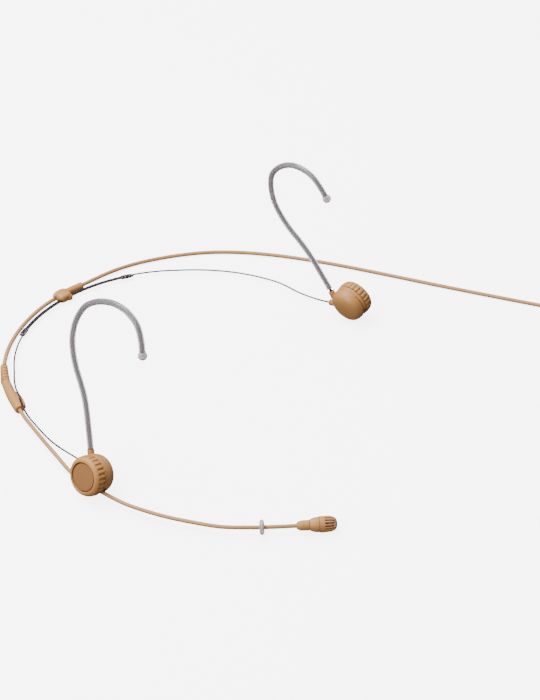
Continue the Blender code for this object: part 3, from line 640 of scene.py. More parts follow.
def settle(obj, angle=None):
    """Applies an object's modifiers, keeps one clean mesh and shades it smooth."""
    graph = bpy.context.evaluated_depsgraph_get()
    evaluated = obj.evaluated_get(graph)
    mesh = bpy.data.meshes.new_from_object(evaluated, preserve_all_data_layers=True, depsgraph=graph)
    obj.modifiers.clear()
    obj.data = mesh
    mesh.shade_smooth()
    if angle is not None:
        mesh.set_sharp_from_angle(angle=math.radians(angle))
    return obj


def add_mesh(name, points, faces, edges=(), place=None):
    """A mesh object of points in millimetres under a frame in metres, with its faces turned outward."""
    place = place or Matrix.Identity(4)
    mesh = bpy.data.meshes.new(name)
    mesh.from_pydata([place @ (Vector(point) * MM) for point in points], edges, faces)
    if faces:
        work = bmesh.new()
        work.from_mesh(mesh)
        bmesh.ops.recalc_face_normals(work, faces=work.faces)
        work.to_mesh(mesh)
        work.free()
    mesh.shade_smooth()
    obj = bpy.data.objects.new(name, mesh)
    bpy.context.scene.collection.objects.link(obj)
    return obj


def into_place(obj, place):
    obj.data.transform(place)
    if place.determinant() < 0:
        obj.data.flip_normals()
    return obj


def keep(obj, body, slot, *nodes):
    """Gives a piece its finish and its body, and hides the solids that it stands for."""
    material = finish_of(slot)
    if not obj.data.materials:
        obj.data.materials.append(material)
    for index in range(len(obj.data.materials)):
        obj.data.materials[index] = material
    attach(obj, body)
    if nodes:
        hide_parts(*nodes)
    return obj


def rounded(profile, parts=5, ring=False):
    """The (radius, level) points of a profile whose corners are turned into curves."""
    outline = []
    count = len(profile)
    for index, (radius, level, rounding) in enumerate(profile):
        corner = Vector((radius, level))
        if rounding == 0 or (not ring and index in (0, count - 1)):
            outline.append(corner)
            continue
        before = Vector(profile[index - 1][:2]) - corner
        after = Vector(profile[(index + 1) % count][:2]) - corner
        cut = min(rounding, 0.49 * before.length, 0.49 * after.length)
        start = corner + before.normalized() * cut
        end = corner + after.normalized() * cut
        for part in range(parts + 1):
            t = part / parts
            outline.append(start * (1 - t) ** 2 + corner * 2 * t * (1 - t) + end * t * t)
    return outline


def spaced(outline, step, ring=False):
    """The outline with points added so that no stretch is longer than step."""
    found = []
    following = outline[1:] + (outline[:1] if ring else [])
    for start, end in zip(outline, following):
        parts = max(1, math.ceil((end - start).length / step))
        found.extend(start.lerp(end, part / parts) for part in range(parts))
    return found if ring else found + [outline[-1]]


def numbered(rows, steps):
    """The numbers of the points of each row, for rows of the same count of steps."""
    return [list(range(row * steps, (row + 1) * steps)) for row in range(rows)]


def skin(rows, ring=False):
    """Faces between each row of point numbers and the next, closed round. Repeated numbers are a pole."""
    faces = []
    for row, following in zip(rows, rows[1:] + (rows[:1] if ring else [])):
        for step in range(len(row)):
            turn = (step + 1) % len(row)
            corners = dict.fromkeys([row[step], row[turn], following[turn], following[step]])
            if len(corners) > 2:
                faces.append(list(corners))
    return faces


def turned(name, outline, steps, place=None, ring=False):
    """A closed shape: an outline of (radius, level) turned about z."""
    points = []
    rows = []
    for radius, level in outline:
        if radius < 1e-6:
            rows.append([len(points)] * steps)
            points.append((0.0, 0.0, level))
            continue
        row = []
        for step in range(steps):
            angle = 2.0 * math.pi * step / steps
            row.append(len(points))
            points.append((radius * math.cos(angle), radius * math.sin(angle), level))
        rows.append(row)
    return add_mesh(name, points, skin(rows, ring), place=place)


def lathe(name, profile, steps, place=None, ring=False, parts=5):
    return turned(name, rounded(profile, parts, ring), steps, place, ring)


def prism(name, outline, low, high, place=None):
    """An (x, y) outline raised from one level to another."""
    count = len(outline)
    points = [(*point, low) for point in outline] + [(*point, high) for point in outline]
    faces = [list(range(count)), list(range(count, 2 * count))]
    faces += skin([list(range(count)), list(range(count, 2 * count))])
    return add_mesh(name, points, faces, place=place)


def rectangle(near, far, half_width):
    """The (x, y) outline of a rectangle that is centred on y = 0."""
    return [(near, -half_width), (far, -half_width), (far, half_width), (near, half_width)]


def sector(inner, outer, start, end, parts):
    """The (x, y) outline between two arcs round the origin, each in so many parts."""
    outline = []
    for radius, first, last in ((inner, start, end), (outer, end, start)):
        for index in range(parts + 1):
            outline.append(tuple(heading(first + (last - first) * index / parts).xy * radius))
    return outline


def guide(name, line):
    """A line of points in millimetres, for a geometry tree to build along."""
    return add_mesh(name, line, [], [(index, index + 1) for index in range(len(line) - 1)])


def smooth_line(points, spacing):
    """Even points, spacing apart, on a smooth curve through the given ones."""
    knots = [Vector(point) for point in points]
    knots = [2 * knots[0] - knots[1]] + knots + [2 * knots[-1] - knots[-2]]
    fine = []
    for index in range(1, len(knots) - 2):
        before, start, end, after = knots[index - 1 : index + 3]
        for part in range(24):
            t = part / 24
            bend = (2 * before - 5 * start + 4 * end - after) * t * t
            bend += (3 * start - 3 * end + after - before) * t * t * t
            fine.append(0.5 * (2 * start + (end - before) * t + bend))
    fine.append(knots[-2])
    walked = np.concatenate([[0.0], np.cumsum([(b - a).length for a, b in zip(fine, fine[1:])])])
    count = max(2, round(walked[-1] / spacing) + 1)
    even = np.linspace(0.0, walked[-1], count)
    columns = [np.interp(even, walked, [point[axis] for point in fine]) for axis in range(3)]
    return [Vector(point) for point in zip(*columns)]


def tube(name, line, radius, sides, material, girths=(1.0, 1.0)):
    """A round tube along points in millimetres. Girths scale its radius at even steps along it."""
    obj = guide(name, line)
    girth = obj.data.attributes.new("girth", "FLOAT", "POINT")
    shares = np.interp(np.linspace(0, 1, len(line)), np.linspace(0, 1, len(girths)), girths)
    girth.data.foreach_set("value", shares.astype(np.float32))
    return run_tree(obj, tube_tree, material, Radius=radius * MM, Sides=sides)


def centreline(node, sides, start):
    """The middle of a round tube of the frame, ring by ring from the end nearest to start, in millimetres."""
    vertices = frame["nodes"][node].data.vertices
    left = np.unique([[round(value / MM, 4) for value in vertex.co] for vertex in vertices], axis=0)
    here = np.array(start, float)
    line = []
    while len(left) >= sides:
        nearest = np.argsort(((left - here) ** 2).sum(1))[:sides]
        here = left[nearest].mean(0)
        line.append(Vector(here))
        left = np.delete(left, nearest, 0)
    return line


def followed(node, sides, start, spacing):
    """A smooth line down the middle of a round tube of the frame."""
    return smooth_line(centreline(node, sides, start), spacing)


def strand(name, line, radius, sides, body, slot, node):
    """A finished round wire or tube that stands for a solid."""
    return keep(tube(name, line, radius, sides, finish_of(slot)), body, slot, node)


def combine(target, tool, operation):
    """Applies an exact Boolean of a tool that is then removed."""
    modifier = target.modifiers.new(operation, "BOOLEAN")
    modifier.operation = operation
    modifier.object = tool
    modifier.solver = "EXACT"
    settle(target)
    bpy.data.objects.remove(tool, do_unlink=True)
    return target


def drill(obj, radius, levels, sides, place):
    """Cuts a round hole between two levels of a frame's z."""
    low, high = levels
    hole = [(0.0, low, 0), (radius, low, 0), (radius, high, 0), (0.0, high, 0)]
    return combine(obj, lathe("bore", hole, sides, place), "DIFFERENCE")


def soften_edges(obj, width, angle=38.0, segments=2):
    """Breaks the sharp edges that cutting leaves."""
    modifier = obj.modifiers.new("broken_edges", "BEVEL")
    modifier.width = width * MM
    modifier.segments = segments
    modifier.limit_method = "ANGLE"
    modifier.angle_limit = math.radians(angle)
    modifier.use_clamp_overlap = True
    return settle(obj, angle=50.0)


def melt(parts, name, voxel, passes):
    """Joins overlapping closed shapes into one moulded skin with soft inner corners."""
    body = parts[0]
    for other in parts[1:]:
        combine(body, other, "UNION")
    body.name = name
    remesh = body.modifiers.new("skin", "REMESH")
    remesh.mode = "VOXEL"
    remesh.voxel_size = voxel * MM
    smooth = body.modifiers.new("flow", "SMOOTH")
    smooth.factor = 0.5
    smooth.iterations = passes
    return settle(body)


def axis_frame(origin, axis, forward=None):
    """A frame at origin, in metres, whose z is axis and whose x is as near forward as it can be."""
    z = Vector(axis).normalized()
    x = Vector(forward) if forward else z.orthogonal()
    x = (x - z * x.dot(z)).normalized()
    placed = Matrix((x, z.cross(x), z)).transposed().to_4x4()
    placed.translation = Vector(origin)
    return placed


def heading(degrees):
    """The level direction that is so many degrees round from +X."""
    return Vector((math.cos(math.radians(degrees)), math.sin(math.radians(degrees)), 0.0))


JOINTS = {joint["name"]: joint for joint in frame["joints"]}


class Hub:
    """One clamp hub: p runs forward, q up and n outward from the head, about the knob's own joint."""

    def __init__(self, side, pitch):
        joint = JOINTS[f"{side}_knob_turn"]
        self.side = side
        self.centre = Vector(joint["pos_m"])
        self.n = Vector(joint["axis"]).normalized()
        forward = Vector((1.0, 0.0, 0.0))
        sign = 1.0 if side == "right" else -1.0
        self.p = Matrix.Rotation(-math.radians(pitch), 3, self.n) @ forward
        self.q = self.n.cross(self.p) * sign
        self.place = Matrix((self.p, self.q, self.n)).transposed().to_4x4()
        self.place.translation = self.centre
        self.body = "root" if side == "right" else "left_side"

    def at(self, p, q, n):
        """A point in metres from hub coordinates in millimetres."""
        return self.centre + (self.p * p + self.q * q + self.n * n) * MM


RIGHT_HUB = Hub("right", 0.0)
LEFT_HUB = Hub("left", LEFT_PITCH)
HUBS = (RIGHT_HUB, LEFT_HUB)


# ---------------------------------------------------------------- hubs


def make_knob(hub, settings):
    outline = spaced(rounded(KNOB_PROFILE, 8, ring=True), 0.22, ring=True)
    knob = turned(f"{hub.side}_thumb_knob", outline, settings.grip_count * 14, ring=True)
    run_tree(
        knob,
        grip_tree,
        finish_of("tan_plastic"),
        Count=settings.grip_count,
        Depth=settings.grip_depth,
        Inner_radius=GRIP_FADE[0] * MM,
        Outer_radius=GRIP_FADE[1] * MM,
        Lower_level=GRIP_LEVELS[0] * MM,
        Upper_level=GRIP_LEVELS[1] * MM,
    )
    into_place(knob, hub.place)
    keep(knob, f"{hub.side}_knob", "tan_plastic", f"{hub.side}_knob")
    disc = lathe(f"{hub.side}_face_disc", DISC_PROFILE, 128)
    into_place(disc, hub.place)
    keep(disc, f"{hub.side}_knob", "disc_face", f"{hub.side}_knob_disc")


def wall_cutter(hub, angles, levels, inner=WALL_INNER_RADIUS):
    """A ring sector that opens the wall of the base, or marks it where inner is just under its surface."""
    outline = sector(inner, CUTTER_RADIUS, *angles, 18)
    return into_place(prism("cutter", outline, *levels), hub.place)


def make_base(hub):
    base = turned(f"{hub.side}_base_cup", spaced(rounded(BASE_PROFILE, 6), 0.6), 120)
    into_place(base, hub.place)
    hook_joint = JOINTS[f"{hub.side}_hook_turn"]
    hook_frame = axis_frame(hook_joint["pos_m"], hook_joint["axis"], hub.n)
    band_frame = axis_frame(hub.at(*BAND_SOCKET_TIP), -hub.p, hub.n)
    for place in (hook_frame, band_frame):
        combine(base, lathe("socket", SOCKET_PROFILE, 36, place), "UNION")
    for place, bore in ((hook_frame, HOOK_BORE), (band_frame, BAND_BORE)):
        drill(base, bore, SOCKET_BORE_LEVELS, 28, place)
    mouth = (BOOM_LEVEL - MOUTH_HALF_HEIGHT, BOOM_LEVEL + MOUTH_HALF_HEIGHT)
    rear_seam = [180.0 - angle for angle in SEAM_ANGLES]
    rear_mouth = [180.0 - angle for angle in REAR_MOUTH_ANGLES]
    cuts = ((MOUTH_ANGLES, mouth), (rear_mouth, mouth), (SEAM_ANGLES, SEAM_LEVELS), (rear_seam, SEAM_LEVELS))
    for angles, levels in cuts:
        combine(base, wall_cutter(hub, angles, levels), "DIFFERENCE")
    combine(base, wall_cutter(hub, SPLIT_ANGLES, SPLIT_LEVELS, BASE_RADIUS - SPLIT_DEPTH), "DIFFERENCE")
    soften_edges(base, 0.09)
    keep(base, hub.body, "tan_plastic", f"{hub.side}_hub_base")


# ---------------------------------------------------------------- hooks


def make_hook(hub, settings):
    side = hub.side
    body = f"{side}_hook"
    line = followed(f"{side}_hook_core", 6, hub.at(-5.25, -10.0, -3.0) / MM, 0.9)
    strand(f"{side}_hook_wire", line, HOOK_WIRE_RADIUS, 16, body, "wire_steel", f"{side}_hook_core")
    joint = JOINTS[f"{side}_hook_turn"]
    axis = Vector(joint["axis"])
    start = Vector(joint["pos_m"]) / MM + axis * settings.sleeve_gaps[side == "left"]
    tip = line[-1]
    run = (tip - line[-2]).normalized()
    above = [point for point in line if (point - start).dot(axis) > 0.0 or (point - line[0]).length > 20.0]
    covered = [start] + [point for point in above if (point - tip).length > 1.2]
    node = f"{side}_hook_sleeve"
    strand(f"{side}_hook_tube", covered, settings.sleeve_radius, 28, body, "clear_sleeve", node)
    angles = [math.pi * index / 32 for index in range(33)]
    outline = [Vector((HOOK_BALL_RADIUS * math.sin(a), -HOOK_BALL_RADIUS * math.cos(a))) for a in angles]
    ball = turned(f"{side}_hook_ball", outline, 48, axis_frame(tip * MM - run * 0.2 * MM, run))
    keep(ball, body, "clear_soft", f"{side}_hook_tip")


# ---------------------------------------------------------------- neckband


def make_ferrule(name, angle, body):
    """A flat two-lobed crimp with a bore for each wire and two pinch marks."""
    outward = heading(angle)
    tangent = heading(angle + 90.0)
    middle = sum(WIRE_ARCS) / 2
    place = axis_frame(BAND_CENTRE + outward * middle * MM + UP * WIRE_LEVEL * MM, tangent, outward)
    half_gap = (WIRE_ARCS[1] - WIRE_ARCS[0]) / 2
    rows = 41
    steps = 48
    points = []
    for row in range(rows):
        along = row / (rows - 1)
        level = (along - 0.5) * FERRULE_LENGTH
        edge = min(1.0, min(along, 1 - along) * FERRULE_LENGTH / 0.3)
        lip = 1.0 - 0.14 * (1.0 - math.sqrt(1.0 - (1.0 - edge) ** 2))
        pinch = sum(math.exp(-(((along - mark) * FERRULE_LENGTH / 0.42) ** 2)) for mark in (0.3, 0.7))
        for step in range(steps):
            turn = 2.0 * math.pi * step / steps
            side = math.cos(turn)
            lobe = 0.75 * math.sqrt(max(0.0, 1.0 - min(1.0, abs(side)) ** 2.6))
            waist = 1.0 - 0.16 * math.exp(-((side / 0.28) ** 2)) - 0.13 * pinch
            height = math.copysign(lobe, math.sin(turn)) * waist * lip
            points.append((side * (half_gap + 0.72) * lip * (1.0 + 0.05 * pinch), height, level))
    rings = numbered(rows, steps)
    crimp = add_mesh(f"{name}_crimp", points, [rings[0], rings[-1]] + skin(rings), place=place)
    for offset in (half_gap, -half_gap):
        drill(crimp, FERRULE_BORE, (-3.0, 3.0), 20, place @ Matrix.Translation((offset * MM, 0, 0)))
    soften_edges(crimp, 0.05, 50.0)
    keep(crimp, body, "ferrule_steel", name)


def make_band():
    for hub in HUBS:
        node = f"{hub.side}_band_wire"
        line = followed(node, 6, hub.at(30.0, 0.0, -3.5) / MM, 1.4)
        strand(f"{hub.side}_neck_wire", line, NECK_WIRE_RADIUS, 18, hub.body, "wire_steel", node)
    for name, angle in FERRULE_ANGLES.items():
        make_ferrule(name, angle, body_of(frame["nodes"][name])[0])


# ---------------------------------------------------------------- boom and capsule


def make_boom():
    tubes = (("boom_arm", "boom", "boom_front", -40.0), ("boom_tail", "root", "boom_rear", 40.0))
    for name, body, node, beyond in tubes:
        line = followed(node, 8, RIGHT_HUB.at(beyond, -5.1, BOOM_LEVEL) / MM, 1.2)
        strand(name, line, BOOM_RADIUS, 24, body, "cable_jacket", node)


def capsule_frame():
    low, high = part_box("capsule_element")
    axis = Vector(JOINTS["capsule_cap_pull"]["axis"]).normalized()
    return axis_frame((low + high) / 2 - axis * 9.0 * MM, axis, UP)


def make_capsule(settings):
    place = capsule_frame()
    neck = lathe("capsule_boot", NECK_PROFILE, 64, place, ring=True, parts=8)
    keep(neck, "boom", "tan_soft", "capsule_neck")
    body = lathe("capsule_housing", CAPSULE_BODY_PROFILE, 72, place, ring=True, parts=8)
    bump = lathe("bump", [(0.0, -0.35, 0), (0.3, -0.35, 0.2), (0.22, 0.3, 0.2), (0.0, 0.3, 0)], 20)
    turn = Matrix.Rotation(-math.pi / 2, 4, "Y")
    into_place(bump, place @ Matrix.Translation((-2.95 * MM, 0, 7.9 * MM)) @ turn)
    combine(body, bump, "UNION")
    keep(body, "boom", "tan_plastic", "capsule_body")
    make_cap(place, settings)


def make_cap(place, settings):
    """The slotted cap: one rib with half a slot on each side, copied round the axis and given its wall."""
    half = 180.0 / settings.slot_count
    points = []
    faces = []
    for radius, level in CAP_RIB_ROWS:
        slot = math.degrees(math.asin(min(0.9, settings.slot_width / MM / 2 / radius)))
        slot = min(slot, half * 0.45)
        for angle in (-half, -slot - (half - slot) * 0.35, -slot, slot, slot + (half - slot) * 0.35, half):
            spot = heading(angle) * radius
            points.append((spot.x, spot.y, level))
    columns = 6
    for row in range(len(CAP_RIB_ROWS) - 1):
        for column in range(columns - 1):
            if column == 2 and CAP_SLOT_ROWS[0] <= row < CAP_SLOT_ROWS[1]:
                continue
            first = row * columns + column
            faces.append([first, first + 1, first + 1 + columns, first + columns])
    last = len(points) - columns
    points.append((0.0, 0.0, CAP_RIB_ROWS[-1][1] + 0.06))
    faces += [[last + column, last + column + 1, len(points) - 1] for column in range(columns - 1)]
    cap = add_mesh("slotted_cap", points, faces)
    run_tree(cap, ring_tree, finish_of("tan_plastic"), Count=settings.slot_count, Merge_distance=0.02 * MM)
    outward(cap)
    wall = cap.modifiers.new("wall", "SOLIDIFY")
    wall.thickness = CAP_WALL * MM
    wall.offset = -1.0
    curve = cap.modifiers.new("curve", "SUBSURF")
    curve.levels = 2
    curve.render_levels = 2
    settle(cap)
    into_place(cap, place)
    keep(cap, "capsule_cap", "tan_plastic", "capsule_cap")


def outward(obj):
    """Turns the faces of an open shell round z away from that axis."""
    work = bmesh.new()
    work.from_mesh(obj.data)
    bmesh.ops.recalc_face_normals(work, faces=work.faces)
    side = max(work.faces, key=lambda face: face.calc_center_median().xy.length)
    if side.normal.dot(side.calc_center_median() * Vector((1, 1, 0))) < 0:
        bmesh.ops.reverse_faces(work, faces=work.faces)
    work.to_mesh(obj.data)
    work.free()


def make_ring():
    low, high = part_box("drip_ring")
    place = axis_frame((low + high) / 2, JOINTS["drip_ring_slide"]["axis"], UP)
    ring = lathe("drip_ring_disc", RING_PROFILE, 72, place, ring=True, parts=6)
    keep(ring, "drip_ring", "clear_soft", "drip_ring")


# ---------------------------------------------------------------- boot and clip


def make_junction():
    boot_line = smooth_line(BOOT_ROUTE, 0.8)
    parts = [
        tube("boot", boot_line, BOOT_RADIUS, 28, None, BOOT_GIRTHS),
        tube("lobe", smooth_line(LOBE_ROUTE, 0.8), LOBE_RADIUS, 24, None, LOBE_GIRTHS),
    ]
    boot = melt(parts, "cable_boot", 0.2, 4)
    wire = followed("right_band_wire", 6, (42.0, -76.0, 8.0), 1.5)
    channel = [point for point in wire if -72.0 < point.x < -38.0]
    combine(boot, tube("channel", channel, 0.66, 14, None), "DIFFERENCE")
    bore = [2 * boot_line[0] - boot_line[2]] + boot_line[:-4]
    combine(boot, tube("bore", bore, 0.95, 20, None), "DIFFERENCE")
    soften_edges(boot, 0.06, 45.0)
    keep(boot, "root", "tan_plastic", "junction_boot")
    relief = guide("cable_relief", smooth_line(RELIEF_ROUTE, 0.12))
    ribs = {"Count": 5, "Rib_depth": 0.3, "Taper": 0.2}
    run_tree(relief, ribbed_tree, finish_of("tan_soft"), Radius=BOOT_RADIUS * MM, Sides=32, **ribs)
    keep(relief, "root", "tan_soft", "junction_relief")


def blob(name, half, place, power=2.4):
    """A rounded block: an ellipsoid of half sizes whose corners are filled out."""
    points = []
    rows, steps = 24, 40
    for row in range(rows + 1):
        rise = math.pi * row / rows
        for step in range(steps):
            turn = 2.0 * math.pi * step / steps
            ray = Vector((math.sin(rise) * math.cos(turn), math.sin(rise) * math.sin(turn), math.cos(rise)))
            size = sum(abs(value) ** power for value in ray) ** (-1.0 / power)
            points.append([value * size * reach for value, reach in zip(ray, half)])
    obj = add_mesh(name, points, skin(numbered(rows + 1, steps)), place=place)
    work = bmesh.new()
    work.from_mesh(obj.data)
    bmesh.ops.remove_doubles(work, verts=work.verts, dist=1e-6)
    bmesh.ops.recalc_face_normals(work, faces=work.faces)
    work.to_mesh(obj.data)
    work.free()
    return obj


def arc_line(radius, start, end, level):
    """Points a degree apart on an arc round the neckband's centre."""
    count = max(3, round(abs(end - start)) + 1)
    middle = BAND_CENTRE / MM + UP * level
    return [middle + heading(start + (end - start) * i / (count - 1)) * radius for i in range(count)]


def make_clip():
    outward = heading(CLIP_ANGLE)
    tangent = heading(CLIP_ANGLE - 90.0)
    middle = BAND_CENTRE + (outward * 72.9 + UP * 1.95) * MM
    # Local x is up, y is across the wires and z runs along them towards the left ear.
    place = axis_frame(middle, tangent, UP)
    across = Vector((1.0, 1.0 if place.col[1].xyz.dot(outward) > 0 else -1.0, 1.0))
    parts = []
    for name, half, spot, power in CLIP_BLOCKS:
        parts.append(blob(name, half, place @ Matrix.Translation(Vector(spot) * across * MM), power))
    clip = melt(parts, "band_clip", 0.17, 4)
    tab = arc_line(CLIP_ARC, CLIP_ANGLE - 0.5, CLIP_ANGLE - 9.3, WIRE_LEVEL + 0.1)
    combine(clip, tube("tab", tab, TAB_RADIUS, 32, None), "UNION")
    for arc, radius, sides in ((CLIP_ARC, 1.08, 24), *[(arc, 0.62, 16) for arc in WIRE_ARCS]):
        line = arc_line(arc, CLIP_ANGLE + 6.5, CLIP_ANGLE - 12.5, WIRE_LEVEL)
        combine(clip, tube("channel", line, radius, sides, None), "DIFFERENCE")
    outline = sector(73.1, 76.2, CLIP_ANGLE - 3.6, CLIP_ANGLE - 12.0, 8)
    lower = prism("opening", outline, WIRE_LEVEL - 2.2, WIRE_LEVEL - 0.55, Matrix.Translation(BAND_CENTRE))
    combine(clip, lower, "DIFFERENCE")
    soften_edges(clip, 0.06, 45.0)
    keep(clip, "cable_clip", "tan_plastic", "cable_clip")


# ---------------------------------------------------------------- cable and connector


def ease(share):
    share = min(1.0, max(0.0, share))
    return share * share * (3.0 - 2.0 * share)


def coil_line():
    """The coil's turns: each keeps its radius and level, then slips over to the next one's."""
    line = []
    for index, (radius, level) in enumerate(COIL_TURNS):
        following = COIL_TURNS[min(index + 1, len(COIL_TURNS) - 1)]
        for step in range(POINTS_PER_TURN):
            share = step / POINTS_PER_TURN
            slip = ease((share - 0.875) / 0.125)
            rise = ease((share - 0.75) / 0.125)
            reach = radius + (following[0] - radius) * slip
            height = level + (following[1] - level) * rise
            line.append(COIL_CENTRE + heading(COIL_START_ANGLE + 360.0 * share) * reach + UP * height)
    return line


def connector_place():
    along = heading(CONNECTOR_HEADING)
    touch = COIL_CENTRE + heading(CONNECTOR_HEADING - 90.0) * COIL_MEAN_RADIUS
    return axis_frame((touch + along * CONNECTOR_OFFSET + UP * CONNECTOR_LEVEL) * MM, along, UP)


def cable_line():
    """The whole cable in millimetres: the loose stretch, the coil and the tail into the connector."""
    last_radius, last_level = COIL_TURNS[-1]
    start = connector_place().translation / MM
    along = heading(CONNECTOR_HEADING)
    line = smooth_line(CABLE_ROUTE, 6.0) + coil_line()
    leave = COIL_CENTRE + heading(CONNECTOR_HEADING - 90.0) * last_radius + UP * last_level
    line.append(leave)
    for run, drop in ((5.0, 0.0), (9.5, 0.1), (13.5, 0.8), (17.0, 0.97), (20.0, 1.0)):
        side = (start - leave) - along * (start - leave).dot(along)
        line.append(leave + along * run + Vector((side.x, side.y, 0)) * ease(run / 14.0) + UP * side.z * drop)
    return line


def make_cable():
    curve = bpy.data.curves.new("cable", "CURVE")
    curve.dimensions = "3D"
    curve.bevel_depth = CABLE_RADIUS * MM
    curve.bevel_resolution = 6
    curve.use_fill_caps = True
    curve.resolution_u = 3
    line = cable_line()
    spline = curve.splines.new("NURBS")
    spline.points.add(len(line) - 1)
    for point, spot in zip(spline.points, line):
        point.co = (*(spot * MM), 1.0)
    spline.order_u = 4
    spline.use_endpoint_u = True
    cable = bpy.data.objects.new("cable", curve)
    bpy.context.scene.collection.objects.link(cable)
    curve.materials.append(finish_of("cable_jacket"))
    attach(cable, "root")
    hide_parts("cable_lead", "cable_coil", "cable_tail")
    return cable


def make_tie():
    """A hook-and-loop strap round the coil's turns."""
    low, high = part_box("cable_tie")
    size = (high - low) / MM
    centre = (low + high) / 2
    place = axis_frame(centre, (1.0, 0.0, 0.0), UP)
    reach = (size.z / 2, size.y / 2)
    outline = []
    for inset in (0.0, STRAP_THICKNESS):
        loop = []
        for step in range(STRAP_STEPS):
            turn = 2.0 * math.pi * step / STRAP_STEPS
            ray = Vector((math.cos(turn), math.sin(turn)))
            grow = (abs(ray.x) ** 6 + abs(ray.y) ** 6) ** (-1.0 / 6.0)
            loop.append((ray.x * grow * (reach[0] - inset), ray.y * grow * (reach[1] - inset)))
        outline.append(loop)
    half = size.x / 2
    points = [(*point, level) for level in (-half, half) for loop in outline for point in loop]
    outer, inner, far_outer, far_inner = numbered(4, STRAP_STEPS)
    faces = skin([outer, inner, far_inner, far_outer], ring=True)
    tie = add_mesh("coil_strap", points, faces, place=place)
    soften_edges(tie, 0.08)
    return keep(tie, "root", "black_boot", "cable_tie")


def make_connector(settings):
    place = connector_place()
    boot = lathe("plug_boot", PLUG_BOOT_PROFILE, 56, place, ring=True)
    keep(boot, "root", "black_boot", "connector_boot")
    shell = lathe("plug_shell", PLUG_SHELL_PROFILE, 96, place, ring=True)
    window = prism("window", rectangle(3.0, 6.0, 1.5), 29.0, 34.0, place)
    combine(shell, window, "DIFFERENCE")
    soften_edges(shell, 0.1, 60.0)
    keep(shell, "root", "shell_metal", "connector_shell")
    points = []
    for level, crest in zip(RIDGE_LEVELS, (RIDGE_LEVELS[0] + RIDGE_RUN, RIDGE_LEVELS[1] - RIDGE_RUN)):
        points += [(RIDGE_FOOT, across, level) for across in (-RIDGE_HALF_WIDTH, RIDGE_HALF_WIDTH)]
        points.append((RIDGE_TOP, 0.0, crest))
    ridge = add_mesh("plug_grip", points, [[0, 1, 2], [3, 4, 5], [0, 2, 5, 3], [1, 2, 5, 4], [0, 1, 4, 3]])
    run_tree(ridge, ring_tree, finish_of("shell_metal"), Count=settings.ridge_count, Merge_distance=0.0)
    into_place(ridge, place)
    keep(ridge, "root", "shell_metal")
    insert = lathe("plug_insert", PLUG_INSERT_PROFILE, 56, place)
    for index in range(PIN_HOLE_COUNT):
        turn = Matrix.Rotation(2.0 * math.pi * (index + 0.5) / PIN_HOLE_COUNT, 4, "Z")
        spot = place @ turn @ Matrix.Translation((PIN_CIRCLE_RADIUS * MM, 0, 0))
        drill(insert, PIN_HOLE_RADIUS, (31.0, 40.0), 20, spot)
    soften_edges(insert, 0.05, 60.0)
    keep(insert, "root", "black_insert", "connector_insert")
    button = prism("plug_latch", rectangle(3.45, 5.4, 1.2), 29.3, 33.7, place)
    soften_edges(button, 0.3, 40.0, 4)
    keep(button, "latch_button", "shell_metal", "latch_button")
    return [boot, shell, ridge, insert, button]


def make_finishes(settings):
    """Fills FINISHES with the material of every slot."""
    tan, disc, jacket = tuple(settings.tan), tuple(settings.disc), tuple(settings.jacket)
    FINISHES.update(
        tan_plastic=moulded_plastic("tan_plastic_finish", tan),
        tan_soft=soft_jacket("tan_soft_finish", tan, 0.55),
        cable_jacket=soft_jacket("cable_jacket_finish", jacket),
        disc_face=moulded_plastic("disc_face_finish", disc, 0.6, 0.12, 0.006),
        wire_steel=metal("wire_steel_finish", linear(100, 90, 94), 0.38, grain=0.6),
        ferrule_steel=metal("ferrule_steel_finish", linear(120, 104, 112), 0.22, stain=0.6),
        inner_steel=metal("inner_steel_finish", linear(150, 148, 146), 0.35),
        clear_sleeve=clear_tube("clear_sleeve_finish", linear(194, 192, 196), 0.66, 0.12),
        clear_soft=clear_tube("clear_soft_finish", linear(200, 188, 188), 0.35, 0.35),
        dark_mesh=woven_screen("dark_mesh_finish", linear(48, 40, 36)),
        brass_splice=metal("brass_splice_finish", linear(214, 182, 110), 0.3),
        black_boot=black_polymer("black_boot_finish", linear(34, 33, 34), 0.6),
        black_insert=black_polymer("black_insert_finish", linear(28, 28, 30), 0.42),
        shell_metal=metal("shell_metal_finish", linear(178, 176, 172), 0.3),
    )


def make_plug_and_cable(settings):
    cable = make_cable()
    pieces = [make_tie()] + make_connector(settings)


def finish_inner_pieces():
    """Gives the solids that stay as they are their finishes."""
    for name, slot in INNER_SLOTS.items():
        solid = frame["nodes"][name]
        if not solid.material_slots:
            solid.data.materials.append(finish_of(slot))
        for place in solid.material_slots:
            place.material = finish_of(slot)


# ---------------------------------------------------------------- settings, operators and panel


LENGTH = {"min": 0.0, "subtype": "DISTANCE", "unit": "LENGTH", "precision": 5}
COLOUR = {"min": 0.0, "max": 1.0, "subtype": "COLOR", "size": 4}


